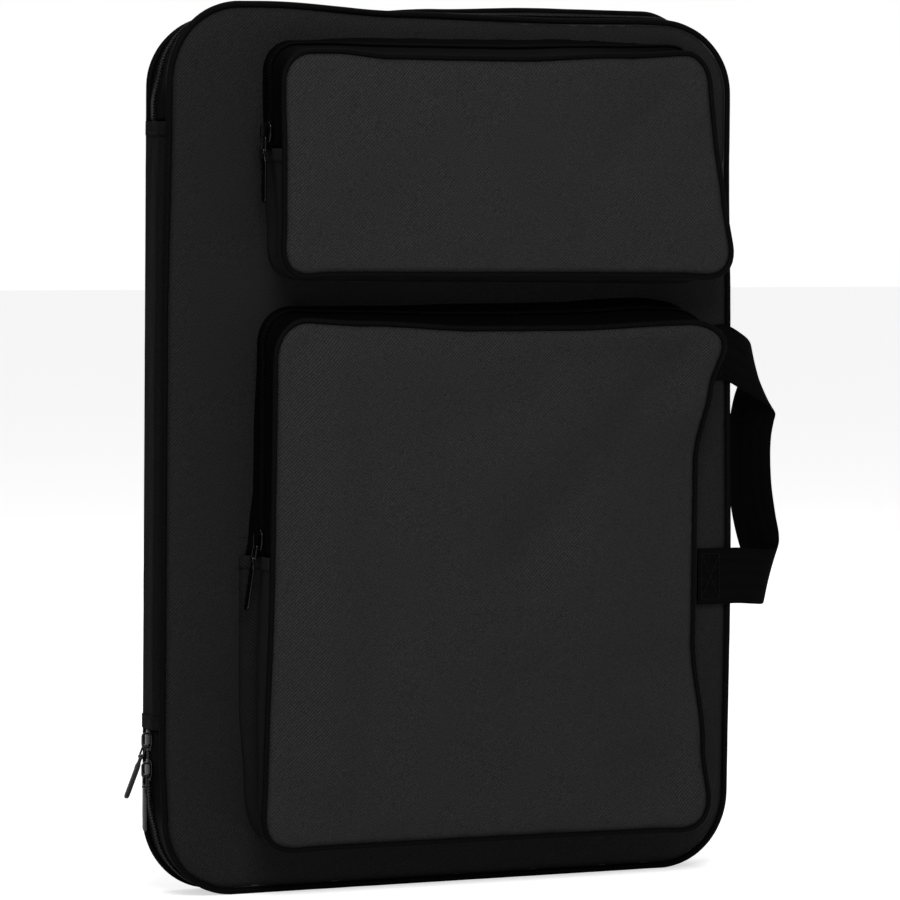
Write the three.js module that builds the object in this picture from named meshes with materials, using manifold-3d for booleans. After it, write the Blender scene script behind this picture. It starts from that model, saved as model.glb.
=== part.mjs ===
// Soft-sided portfolio case for drawing boards and paper. It opens like a book on a fabric spine at its
// left, is closed by one zip round the other three sides, and carries two zipped pockets and a webbing
// handle on its front cover. Millimetres, +Z up, the pockets face -Y and the spine faces -X.
// Each cover is a shell of outer fabric, a stiffening board and a lining, with piping round its edge.
import * as THREE from "three";
import { mergeVertices } from "three/addons/utils/BufferGeometryUtils.js";
import Module from "manifold-3d";

const wasm = await Module();
wasm.setup();

// ---------------------------------------------------------------- driving dimensions
const GAP = 0.3; // between pieces that touch
const CASE = { x0: -175, x1: 175, z0: 0, z1: 480, r: 42 };
const HALF_DEPTH = 16; // from the middle of the zip to the outer face of a cover
const CORNER_STEPS = 6;

const PIPING_R = 1.75;
const SHELL = 1.2; // thicknesses of a cover's layers, from outside to inside
const BOARD = 2.5;
const LINING = 0.8;
const COVER_INSET = 2 * PIPING_R + GAP;

const TAPE = 0.8; // zip tape thickness
const TAPE_INSET = 2.4; // from the outline to the tape's outer face
const COIL_WIDE = 2.2; // one half of the coil, across the zip
const COIL_HIGH = 1.3;
const COIL_INSET = TAPE_INSET - GAP - COIL_HIGH;
const ZIP_LOW = 91; // the main zip's two ends on the left side
const ZIP_HIGH = 419;
const SIDE_BOW = 3; // the left side bows out past the piping, from this far above and below the corners
const SIDE_BOW_RUN = 9;

const SPINE = 1.2;
const SPINE_INSET = 1.2;
const HEM = 6.7; // folded ends of the cloth over a zip's ends
const HEM_THICK = 0.7;
const HEM_INSET = SPINE_INSET - GAP - HEM_THICK;

const POCKET_DEPTH = 28.3;
const POCKET_PIPING_R = 1.5;
const FACE = 1;
const GUSSET = 1;
const GUSSET_INSET = 1.2;
const POCKET_TAPE_INSET = 1.6;
const POCKET_COIL_INSET = POCKET_TAPE_INSET - GAP - COIL_HIGH;
// Where a pocket is sewn to the cover (base), the outline of its face, and the height of its zip's two ends.
const LARGE_POCKET = {
  base: { x0: -125, x1: 152, z0: 25, z1: 320, r: 22 },
  face: { x0: -126, x1: 152, z0: 26, z1: 312, r: 22 },
  zipEnd: 185,
  slider: 194,
};
const TOP_POCKET = {
  base: { x0: -121.5, x1: 157, z0: 330, z1: 465, r: 18 },
  face: { x0: -122.5, x1: 157, z0: 337, z1: 458, r: 18 },
  zipEnd: 405,
  slider: 414,
};

const SLEEVE = { x0: -150, x1: 150, z0: 26, z1: 300 };
const SLEEVE_ROOM = 4.9; // room for paper between the sleeve and the lining
const SLEEVE_SHEET = 0.8;
const SLEEVE_SEAM = 3;
const BINDING = 9;
const BOARD_STRAP = { x0: -152, x1: 152, z: 385, wide: 25, thick: 1.2 };

const WEBBING = 1.4;
const HANDLE_FOOT = 17; // sewn length of each end of the handle
const HANDLE_ROOT = { x: 171, y: -17.3 };
const HANDLE_LOW = { z0: 149.2, z1: 181 };
const HANDLE_HIGH = { z0: 275.8, z1: 307.6 };
const HANDLE_LOOP_X = HANDLE_ROOT.x + 1.3; // clear of the sewn ends as the loop swings

const SLIDER = { long: 11.5, wide: 8.6, plate: 1.2, eye: 2.9, crown: 4.9 };
const WIRE_R = 0.55;
const LINK_WIDE = 5.6;
const TAB = { wide: 5, thick: 1.3, barrel: 1.4, bore: 0.85, neck: 2.8 };
const MAIN_PULL = { link: 7.5, tab: 24 }; // lengths
const POCKET_PULL = { link: 9, tab: 27.5 };
const MAIN_SLIDERS = { upper: 84.8, lower: 68.6 };
const MAIN_UPPER_SWING = 22; // degrees: this pull hangs over the lower slider
const LARGE_POCKET_SWING = 9; // degrees: this pull hangs over the pocket's hem

// The whole case, with its handle and its pulls, is centred over the origin.
const CENTRING = new THREE.Vector3(-7.48, 14.15, 0);

// ---------------------------------------------------------------- materials
const cloth = (color, roughness = 0.9) => new THREE.MeshStandardMaterial({ color, roughness });
const metal = (color, roughness) => new THREE.MeshStandardMaterial({ color, roughness, metalness: 1 });
const SHELL_CLOTH = cloth(0x1b1b1b);
const LINING_CLOTH = cloth(0x161616, 0.7);
const PIPING_CLOTH = cloth(0x0d0d0d, 0.55);
const TAPE_CLOTH = cloth(0x080808, 0.85);
const COIL_NYLON = cloth(0x0a0a0a, 0.35);
const WEBBING_CLOTH = cloth(0x070707, 0.8);
const STIFFENER = cloth(0x2a2a2a, 0.6);
const GUNMETAL = metal(0x2b2b2d, 0.3);

const part = new THREE.Group();

function add(name, geometry, material, parent = part) {
  const mesh = new THREE.Mesh(geometry, material);
  mesh.name = name;
  parent.add(mesh);
  return mesh;
}

// ---------------------------------------------------------------- outlines
// An outline is a list of stations, each a point in the XZ plane with its outward normal.
const CORNERS = { topLeft: 180, topRight: 90, bottomRight: 0, bottomLeft: -90 };

function corner(rect, name) {
  const start = CORNERS[name];
  const cx = name.endsWith("Left") ? rect.x0 + rect.r : rect.x1 - rect.r;
  const cz = name.startsWith("bottom") ? rect.z0 + rect.r : rect.z1 - rect.r;
  return Array.from({ length: CORNER_STEPS + 1 }, (_, i) => {
    const a = THREE.MathUtils.degToRad(start - (90 * i) / CORNER_STEPS);
    const [nx, nz] = [Math.cos(a), Math.sin(a)];
    return { x: cx + rect.r * nx, z: cz + rect.r * nz, nx, nz };
  });
}

const leftSide = (rect, z) => ({ x: rect.x0, z, nx: -1, nz: 0 });
const rightSide = (rect, z) => ({ x: rect.x1, z, nx: 1, nz: 0 });
const loop = (rect) => Object.keys(CORNERS).flatMap((name) => corner(rect, name));
const overTop = (rect, z) => [
  leftSide(rect, z),
  ...corner(rect, "topLeft"),
  ...corner(rect, "topRight"),
  rightSide(rect, z),
];
const underBottom = (rect, z) => [
  rightSide(rect, z),
  ...corner(rect, "bottomRight"),
  ...corner(rect, "bottomLeft"),
  leftSide(rect, z),
];
const bowedSide = (rect, z) => ({ ...leftSide(rect, z), x: rect.x0 - SIDE_BOW });
const roundThreeSides = (rect) => [
  bowedSide(rect, ZIP_HIGH),
  bowedSide(rect, rect.z1 - rect.r - SIDE_BOW_RUN),
  ...loop(rect),
  bowedSide(rect, rect.z0 + rect.r + SIDE_BOW_RUN),
  bowedSide(rect, ZIP_LOW),
];

const insetPoint = (station, inset) => [station.x - station.nx * inset, station.z - station.nz * inset];

// ---------------------------------------------------------------- solids
function geometryOf(positions, faces) {
  const at = (i) => new THREE.Vector3(...positions[i]);
  const volume = faces.reduce((sum, [a, b, c]) => sum + at(a).dot(at(b).cross(at(c))), 0);
  const outward = volume < 0 ? faces.map(([a, b, c]) => [a, c, b]) : faces;
  return new THREE.BufferGeometry()
    .setAttribute("position", new THREE.Float32BufferAttribute(positions.flat(), 3))
    .setIndex(outward.flat());
}

// Joins rings of points, one after the other, into a closed skin. Open ends get flat caps.
function loft(rings, closed = false) {
  const sides = rings[0].length;
  const faces = [];
  const spans = closed ? rings.length : rings.length - 1;
  for (let i = 0; i < spans; i++) {
    for (let k = 0; k < sides; k++) {
      const [a, b] = [i * sides + k, i * sides + ((k + 1) % sides)];
      const next = (((i + 1) % rings.length) - i) * sides;
      faces.push([a, b, b + next], [a, b + next, a + next]);
    }
  }
  if (!closed) {
    const last = (rings.length - 1) * sides;
    for (let k = 1; k < sides - 1; k++) faces.push([0, k + 1, k], [last, last + k, last + k + 1]);
  }
  return geometryOf(rings.flat(), faces);
}

// Sweeps a section of [inset, y] corners along the route that an outline takes at each y.
function sweep(route, section, closed = false) {
  const rails = section.map(([inset, y]) =>
    route(y).map((station) => {
      const [x, z] = insetPoint(station, inset);
      return [x, y, z];
    }),
  );
  return loft(rails[0].map((_, i) => rails.map((rail) => rail[i])), closed);
}

const box = (inset, thick, y0, y1) => [
  [inset, y0],
  [inset, y1],
  [inset + thick, y1],
  [inset + thick, y0],
];
// An octagon with flats to the front, back and sides, so that the case stands on a flat.
const bead = (radius, y) =>
  Array.from({ length: 8 }, (_, i) => {
    const a = ((i + 0.5) * Math.PI) / 4;
    const reach = radius / Math.cos(Math.PI / 8);
    return [radius + reach * Math.cos(a), y + reach * Math.sin(a)];
  });

// A plate with this outline, whose faces are at y0 and y1.
function plate(points, y0, y1) {
  const shape = new THREE.Shape(points.map(([x, z]) => new THREE.Vector2(x, z)));
  const geometry = new THREE.ExtrudeGeometry(shape, { depth: y1 - y0, bevelEnabled: false });
  return geometry.rotateX(Math.PI / 2).translate(0, y1, 0);
}

const outlinePlate = (stations, inset, y0, y1) =>
  plate(
    stations.map((station) => insetPoint(station, inset)),
    y0,
    y1,
  );
const block = (x0, x1, y0, y1, z0, z1) =>
  new THREE.BoxGeometry(x1 - x0, y1 - y0, z1 - z0).translate((x0 + x1) / 2, (y0 + y1) / 2, (z0 + z1) / 2);

function solidOf(geometry) {
  const bare = geometry.clone();
  bare.deleteAttribute("normal");
  bare.deleteAttribute("uv");
  const merged = mergeVertices(bare, 1e-4);
  const vertProperties = merged.getAttribute("position").array;
  const triVerts = new Uint32Array(merged.index.array);
  return new wasm.Manifold(new wasm.Mesh({ numProp: 3, vertProperties, triVerts }));
}

function geometryOfSolid(solid) {
  const { vertProperties, triVerts } = solid.getMesh();
  return new THREE.BufferGeometry()
    .setAttribute("position", new THREE.BufferAttribute(vertProperties, 3))
    .setIndex(new THREE.BufferAttribute(triVerts, 1));
}

const join = (...geometries) =>
  geometryOfSolid(geometries.map(solidOf).reduce((whole, piece) => whole.add(piece)));
const cut = (geometry, tool) => geometryOfSolid(solidOf(geometry).subtract(solidOf(tool)));

// ---------------------------------------------------------------- the two covers
// side is -1 for the front cover and 1 for the back one. Depths are counted inwards from the outer face.
function cover(name, side) {
  const layer = (from, thick) => {
    const ends = [side * (HALF_DEPTH - from), side * (HALF_DEPTH - from - thick)];
    return [Math.min(...ends), Math.max(...ends)];
  };
  const caseLoop = loop(CASE);
  const boardFrom = SHELL + GAP;
  const liningFrom = boardFrom + BOARD + GAP;
  add(`${name}_shell`, outlinePlate(caseLoop, COVER_INSET, ...layer(0, SHELL)), SHELL_CLOTH);
  add(`${name}_board`, outlinePlate(caseLoop, COVER_INSET, ...layer(boardFrom, BOARD)), STIFFENER);
  add(`${name}_lining`, outlinePlate(caseLoop, COVER_INSET, ...layer(liningFrom, LINING)), LINING_CLOTH);
  const piping = bead(PIPING_R, side * (HALF_DEPTH - PIPING_R));
  add(`${name}_piping`, sweep(() => loop(CASE), piping, true), PIPING_CLOTH);

  const tape = [GAP / 2, HALF_DEPTH - 2 * PIPING_R - GAP].map((y) => side * y);
  const route = () => roundThreeSides(CASE);
  add(`main_zip_tape_${name}`, sweep(route, box(TAPE_INSET, TAPE, ...tape)), TAPE_CLOTH);
  const coil = [GAP / 2, GAP / 2 + COIL_WIDE].map((y) => side * y);
  add(`main_zip_coil_${name}`, sweep(route, box(COIL_INSET, COIL_HIGH, ...coil)), COIL_NYLON);
}

// ---------------------------------------------------------------- spine
function spine() {
  const half = HALF_DEPTH - 2 * PIPING_R - GAP;
  const [z0, z1] = [ZIP_LOW + GAP, ZIP_HIGH - GAP];
  const x0 = CASE.x0 - SIDE_BOW;
  const strip = (inset, thick, from, to) => block(x0 + inset, x0 + inset + thick, -half, half, from, to);
  add("spine_gusset", strip(SPINE_INSET, SPINE, z0, z1), SHELL_CLOTH);
  add("spine_lining", strip(SPINE_INSET + SPINE + GAP, LINING, z0, z1), LINING_CLOTH);
  add("spine_hem_lower", strip(HEM_INSET, HEM_THICK, z0, z0 + HEM), SHELL_CLOTH);
  add("spine_hem_upper", strip(HEM_INSET, HEM_THICK, z1 - HEM, z1), SHELL_CLOTH);
}

// ---------------------------------------------------------------- inside the back cover
function inside() {
  const lining = HALF_DEPTH - SHELL - BOARD - LINING - 2 * GAP;
  const [back, front] = [lining - GAP, lining - GAP - SLEEVE_ROOM];
  const { x0, x1, z0, z1 } = SLEEVE;
  const sheet = block(x0, x1, front - SLEEVE_SHEET, front, z0, z1);
  const seams = [
    block(x0, x0 + SLEEVE_SEAM, front - SLEEVE_SHEET, back, z0, z1),
    block(x1 - SLEEVE_SEAM, x1, front - SLEEVE_SHEET, back, z0, z1),
    block(x0, x1, front - SLEEVE_SHEET, back, z0, z0 + SLEEVE_SEAM),
  ];
  add("paper_sleeve", join(sheet, ...seams), LINING_CLOTH);
  const bindingFront = front - SLEEVE_SHEET - GAP;
  const binding = block(x0, x1, bindingFront - SLEEVE_SHEET, bindingFront, z1 - BINDING, z1);
  add("sleeve_binding", binding, TAPE_CLOTH);
  const { z, wide, thick } = BOARD_STRAP;
  const strap = block(BOARD_STRAP.x0, BOARD_STRAP.x1, back - thick, back, z - wide / 2, z + wide / 2);
  add("board_strap", strap, WEBBING_CLOTH);
}

// ---------------------------------------------------------------- pockets
// The wall of a pocket narrows from its base outline to its face outline. The zip runs over the top
// between the two ends, and the face above them folds forward when it is open.
function pocket(name, { base, face, zipEnd }) {
  const sewn = -HALF_DEPTH - GAP;
  const front = -HALF_DEPTH - POCKET_DEPTH;
  const rectAt = (y) => {
    const t = (y - sewn) / (front - sewn);
    const between = (key) => [key, THREE.MathUtils.lerp(base[key], face[key], t)];
    return Object.fromEntries(Object.keys(base).map(between));
  };
  const [above, below] = [zipEnd + GAP / 2, zipEnd - GAP / 2];
  const top = (y) => overTop(rectAt(y), above);
  const bottom = (y) => underBottom(rectAt(y), below);
  const wallFront = front + 2 * POCKET_PIPING_R + GAP;
  const middle = (sewn + wallFront) / 2;
  const edge = GAP / 2;

  add(`${name}_gusset`, sweep(bottom, box(GUSSET_INSET, GUSSET, wallFront, sewn)), SHELL_CLOTH);
  const hem = box(HEM_INSET, HEM_THICK, wallFront, sewn);
  const hemEnds = [below, below - HEM];
  for (const [sideName, side] of [["left", leftSide], ["right", rightSide]]) {
    const route = (y) => hemEnds.map((z) => side(rectAt(y), z));
    add(`${name}_hem_${sideName}`, sweep(route, hem), SHELL_CLOTH);
  }
  const rear = [middle + edge, sewn];
  const forward = [wallFront, middle - edge];
  add(`${name}_zip_tape_rear`, sweep(top, box(POCKET_TAPE_INSET, TAPE, ...rear)), TAPE_CLOTH);
  add(`${name}_zip_tape_front`, sweep(top, box(POCKET_TAPE_INSET, TAPE, ...forward)), TAPE_CLOTH);
  const coil = (from) => sweep(top, box(POCKET_COIL_INSET, COIL_HIGH, from, from + COIL_WIDE));
  add(`${name}_zip_coil_rear`, coil(middle + edge), COIL_NYLON);
  add(`${name}_zip_coil_front`, coil(middle - edge - COIL_WIDE), COIL_NYLON);

  const piping = bead(POCKET_PIPING_R, front + POCKET_PIPING_R);
  add(`${name}_piping_upper`, sweep(() => overTop(face, above), piping), PIPING_CLOTH);
  add(`${name}_piping_lower`, sweep(() => underBottom(face, below), piping), PIPING_CLOTH);
  const faceInset = 2 * POCKET_PIPING_R + GAP;
  const cloth = (stations) => outlinePlate(stations, faceInset, front, front + FACE);
  add(`${name}_face_upper`, cloth(overTop(face, above)), SHELL_CLOTH);
  add(`${name}_face_lower`, cloth(underBottom(face, below)), SHELL_CLOTH);
  return middle;
}

// ---------------------------------------------------------------- zip sliders and their pulls
// Seen from outside the zip runs along Z and its outer side faces -X. A point's first number is its
// distance out from the coil.
const outward = (distance) => -distance;

// Extrudes an outline drawn in Y and Z along X, between two distances out from the coil.
function facing(shape, from, to) {
  const turn = new THREE.Matrix4().makeBasis(
    new THREE.Vector3(0, 1, 0),
    new THREE.Vector3(0, 0, 1),
    new THREE.Vector3(1, 0, 0),
  );
  const geometry = new THREE.ExtrudeGeometry(shape, { depth: to - from, bevelEnabled: false });
  return geometry.applyMatrix4(turn).translate(outward(to), 0, 0);
}

function sliderBody() {
  const { long, wide, plate: thick, crown } = SLIDER;
  const [h, w] = [long / 2, wide / 2];
  const outline = new THREE.Shape()
    .moveTo(-w * 0.72, -h)
    .lineTo(w * 0.72, -h)
    .lineTo(w, -h * 0.1)
    .lineTo(w, h * 0.55)
    .lineTo(w * 0.45, h)
    .lineTo(-w * 0.45, h)
    .lineTo(-w, h * 0.55)
    .lineTo(-w, -h * 0.1);
  const shell = facing(outline, GAP, GAP + thick);
  // The crown: a bridge along the slider, with the eye that holds the link.
  const [low, high, halfWide] = [-h * 0.8, h * 0.7, 1.1];
  const side = new THREE.Shape()
    .moveTo(low, outward(GAP + thick / 2))
    .lineTo(low, outward(crown - 1))
    .lineTo(low + 1, outward(crown))
    .lineTo(high - 1.6, outward(crown))
    .lineTo(high, outward(crown - 1.6))
    .lineTo(high, outward(GAP + thick / 2));
  const eye = new THREE.Path()
    .moveTo(low + 1, outward(GAP + thick + 0.01))
    .lineTo(low + 1, outward(crown - 0.9))
    .lineTo(high - 1.5, outward(crown - 0.9))
    .lineTo(high - 1.5, outward(GAP + thick + 0.01));
  side.holes.push(eye);
  const turn = new THREE.Matrix4().makeBasis(
    new THREE.Vector3(0, 0, 1),
    new THREE.Vector3(1, 0, 0),
    new THREE.Vector3(0, 1, 0),
  );
  const bridge = new THREE.ExtrudeGeometry(side, { depth: 2 * halfWide, bevelEnabled: false })
    .applyMatrix4(turn)
    .translate(0, -halfWide, 0);
  return join(shell, bridge);
}

// A ring of wire in the YZ plane that hangs from its top bar, at the origin.
function linkRing(long) {
  const rect = { x0: -LINK_WIDE / 2, x1: LINK_WIDE / 2, z0: WIRE_R - long, z1: WIRE_R, r: 1.6 };
  const section = bead(WIRE_R, 0);
  return sweep(() => loop(rect), section, true).rotateZ(Math.PI / 2);
}

// A flat tab that hangs from a barrel round the link's bottom bar, at the origin.
function pullTab(long) {
  const { wide, thick, barrel, bore, neck } = TAB;
  const [w, n, shoulder] = [wide / 2, neck / 2, 3];
  const outline = new THREE.Shape()
    .moveTo(-n, 0)
    .lineTo(-n, -shoulder + 0.8)
    .lineTo(-w, -shoulder - 0.6)
    .lineTo(-w, -long + 1.5)
    .lineTo(-w + 1.2, -long)
    .lineTo(w - 1.2, -long)
    .lineTo(w, -long + 1.5)
    .lineTo(w, -shoulder - 0.6)
    .lineTo(n, -shoulder + 0.8)
    .lineTo(n, 0);
  const leaf = facing(outline, -thick / 2, thick / 2);
  const round = new THREE.CylinderGeometry(barrel, barrel, neck, 12);
  const hole = new THREE.CylinderGeometry(bore, bore, neck + 2, 12);
  return cut(join(leaf, round), hole);
}

// A slider on a zip at x, y, z, with its link and tab hanging from it, swung out by an angle.
function zipSlider(name, [x, y, z], pull, swing = 0) {
  const slider = new THREE.Group();
  slider.position.set(x, y, z);
  add(`${name}_slider`, sliderBody(), GUNMETAL, slider);
  const link = new THREE.Group();
  link.position.set(outward(SLIDER.eye), 0, -SLIDER.long * 0.25);
  link.rotation.y = THREE.MathUtils.degToRad(swing);
  add(`${name}_link`, linkRing(pull.link), GUNMETAL, link);
  const tab = new THREE.Group();
  tab.position.set(0, 0, 2 * WIRE_R - pull.link);
  add(`${name}_tab`, pullTab(pull.tab), GUNMETAL, tab);
  link.add(tab);
  slider.add(link);
  part.add(slider);
}

// ---------------------------------------------------------------- handle
// The webbing leaves the cover's face, folds over and runs up beside the case. Each station holds the
// point of its front edge and the point of its rear edge.
const atRoot = (z) => [HANDLE_LOOP_X, HANDLE_ROOT.y, z];
const HANDLE_STATIONS = [
  { front: atRoot(HANDLE_LOW.z1), rear: atRoot(HANDLE_LOW.z0) },
  { front: [181, -17.6, 181], rear: [181, -17.6, 149.2] },
  { front: [191, -18.2, 180.2], rear: [191, -17.4, 148.6] },
  { front: [200, -18.6, 179.6], rear: [198.5, -14.5, 148.4] },
  { front: [205.6, -18.6, 181.6], rear: [201.4, -8, 152] },
  { front: [206.4, -18.8, 188.5], rear: [199.6, -0.5, 162.5] },
  { front: [204.4, -19, 200], rear: [194.6, 7, 181] },
  { front: [201.3, -19, 214], rear: [191, 10.4, 206] },
  { front: [199.9, -19, 229], rear: [189.6, 11, 229] },
  { front: [200, -19, 243], rear: [190, 10.4, 248] },
  { front: [201.2, -18.9, 252], rear: [191.5, 7.5, 263.5] },
  { front: [201.6, -18.7, 258], rear: [193.5, 2, 275] },
  { front: [198.5, -18.5, 262.5], rear: [193.5, -5.5, 286] },
  { front: [191, -18.2, 266.5], rear: [189.5, -13, 295.5] },
  { front: [181.5, -17.7, 271], rear: [181.5, -17, 302] },
  { front: atRoot(HANDLE_HIGH.z0), rear: atRoot(HANDLE_HIGH.z1) },
];

function handle() {
  const centres = HANDLE_STATIONS.map(({ front, rear }) =>
    new THREE.Vector3(...front).add(new THREE.Vector3(...rear)).multiplyScalar(0.5),
  );
  const rings = HANDLE_STATIONS.map(({ front, rear }, i) => {
    const along = new THREE.Vector3().subVectors(
      centres[Math.min(i + 1, centres.length - 1)],
      centres[Math.max(i - 1, 0)],
    );
    const across = new THREE.Vector3(...rear).sub(new THREE.Vector3(...front));
    const thickness = new THREE.Vector3().crossVectors(along, across).setLength(WEBBING / 2);
    const corners = [
      [front, 1],
      [rear, 1],
      [rear, -1],
      [front, -1],
    ];
    const moved = ([edge, sign]) => new THREE.Vector3(...edge).addScaledVector(thickness, sign).toArray();
    return corners.map(moved);
  });
  add("handle_loop", loft(rings), WEBBING_CLOTH);
  const { x, y } = HANDLE_ROOT;
  const foot = ({ z0, z1 }) => block(x - HANDLE_FOOT, x, y - WEBBING / 2, y + WEBBING / 2, z0, z1);
  add("handle_foot_lower", foot(HANDLE_LOW), WEBBING_CLOTH);
  add("handle_foot_upper", foot(HANDLE_HIGH), WEBBING_CLOTH);
}

// ---------------------------------------------------------------- assembly
cover("back", 1);
inside();
spine();
cover("front", -1);
const largeZipY = pocket("large_pocket", LARGE_POCKET);
const topZipY = pocket("top_pocket", TOP_POCKET);
handle();

const caseCoilX = CASE.x0 - SIDE_BOW + COIL_INSET;
zipSlider("main_upper", [caseCoilX, 0, MAIN_SLIDERS.upper], MAIN_PULL, MAIN_UPPER_SWING);
zipSlider("main_lower", [caseCoilX, 0, MAIN_SLIDERS.lower], MAIN_PULL);
const pocketCoilX = ({ base, face }) => (base.x0 + face.x0) / 2 + POCKET_COIL_INSET;
const largeSlider = [pocketCoilX(LARGE_POCKET), largeZipY, LARGE_POCKET.slider];
zipSlider("large_pocket", largeSlider, POCKET_PULL, LARGE_POCKET_SWING);
zipSlider("top_pocket", [pocketCoilX(TOP_POCKET), topZipY, TOP_POCKET.slider], POCKET_PULL);

part.position.copy(CENTRING);
export default part;
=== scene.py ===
"""A soft portfolio case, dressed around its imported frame: cloth, piping, zips, pulls and webbing.

Every piece is modelled in millimetres in the case's own frame, whose origin is on the floor under the
middle of the closed case, and is moved to its place in the row frame in metres when it is finished.
"""
import logging
import math
from collections.abc import Callable, Iterable
from dataclasses import dataclass, field
from enum import Enum

import bmesh
import bpy
from mathutils import Matrix, Vector, noise


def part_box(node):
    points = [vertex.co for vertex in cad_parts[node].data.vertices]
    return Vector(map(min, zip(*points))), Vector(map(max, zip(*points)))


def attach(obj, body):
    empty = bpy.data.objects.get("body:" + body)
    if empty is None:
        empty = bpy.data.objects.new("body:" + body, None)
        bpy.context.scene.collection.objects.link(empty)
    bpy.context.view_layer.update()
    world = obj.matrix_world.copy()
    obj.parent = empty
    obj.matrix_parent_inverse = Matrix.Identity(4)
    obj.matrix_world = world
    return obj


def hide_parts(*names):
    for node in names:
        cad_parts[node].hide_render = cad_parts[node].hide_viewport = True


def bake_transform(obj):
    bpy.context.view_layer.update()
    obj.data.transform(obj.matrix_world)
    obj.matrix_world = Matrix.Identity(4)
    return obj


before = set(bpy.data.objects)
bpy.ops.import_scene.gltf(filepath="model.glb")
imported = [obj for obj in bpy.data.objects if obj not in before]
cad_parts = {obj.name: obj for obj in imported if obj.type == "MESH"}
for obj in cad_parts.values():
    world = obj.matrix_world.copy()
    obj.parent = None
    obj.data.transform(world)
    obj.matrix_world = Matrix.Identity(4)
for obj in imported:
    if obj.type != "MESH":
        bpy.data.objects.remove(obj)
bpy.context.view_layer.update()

log = logging.getLogger("portfolio_case")
MM = 0.001
WEAVE_MAP = "weave"

Place = Callable[[float, float], Vector]
Settle = Callable[[Vector], Vector]


class Slot(Enum):
    """The record's material slots."""

    SHELL = "shell_fabric"
    LINING = "lining_fabric"
    PIPING = "piping"
    TAPE = "zip_tape"
    COIL = "zip_coil"
    WEBBING = "webbing"
    METAL = "slider_metal"


class Body(Enum):
    """The moving bodies that pieces ride on."""

    BACK = "back_cover"
    SPINE = "spine"
    FRONT = "front_cover"
    HANDLE = "handle"


class Pattern(Enum):
    """What a cloth's threads follow."""

    OBJECT = "object coordinates"
    SURFACE = "the piece's own map"


# ------------------------------------------------------------------------------------ small sums
def smooth(low: float, high: float, value: float) -> float:
    """Rises smoothly from 0 at low to 1 at high."""
    t = min(1.0, max(0.0, (value - low) / (high - low)))
    return t * t * (3 - 2 * t)


def mix(a: float, b: float, t: float) -> float:
    """The number a share t of the way from a to b."""
    return a + (b - a) * t


def hill(distance: float, width: float) -> float:
    """A soft bump, 1 at its middle and fading out past width."""
    return math.exp(-((distance / width) ** 2))


def through(points: list[tuple[float, float]], value: float) -> float:
    """A smooth line through a few (place, height) points, flat before the first and after the last."""
    if value <= points[0][0]:
        return points[0][1]
    for (a, ya), (b, yb) in zip(points, points[1:]):
        if value <= b:
            return mix(ya, yb, smooth(a, b, value))
    return points[-1][1]


# ------------------------------------------------------------------------------------ outlines
@dataclass(frozen=True)
class Station:
    """A place on an outline, with its outward normal."""

    x: float
    z: float
    nx: float
    nz: float

    def out(self, distance: float, y: float) -> Vector:
        """The point this far outside the outline, at depth y."""
        return Vector((self.x + self.nx * distance, y, self.z + self.nz * distance))

    def matrix(self, distance: float, y: float) -> Matrix:
        """Axes along the outline, along Y and outward, at that point."""
        along = Vector((self.nz, 0, -self.nx))
        axes = Matrix((along, Vector((0, 1, 0)), Vector((self.nx, 0, self.nz)))).transposed()
        return Matrix.Translation(self.out(distance, y)) @ axes.to_4x4()


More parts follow.
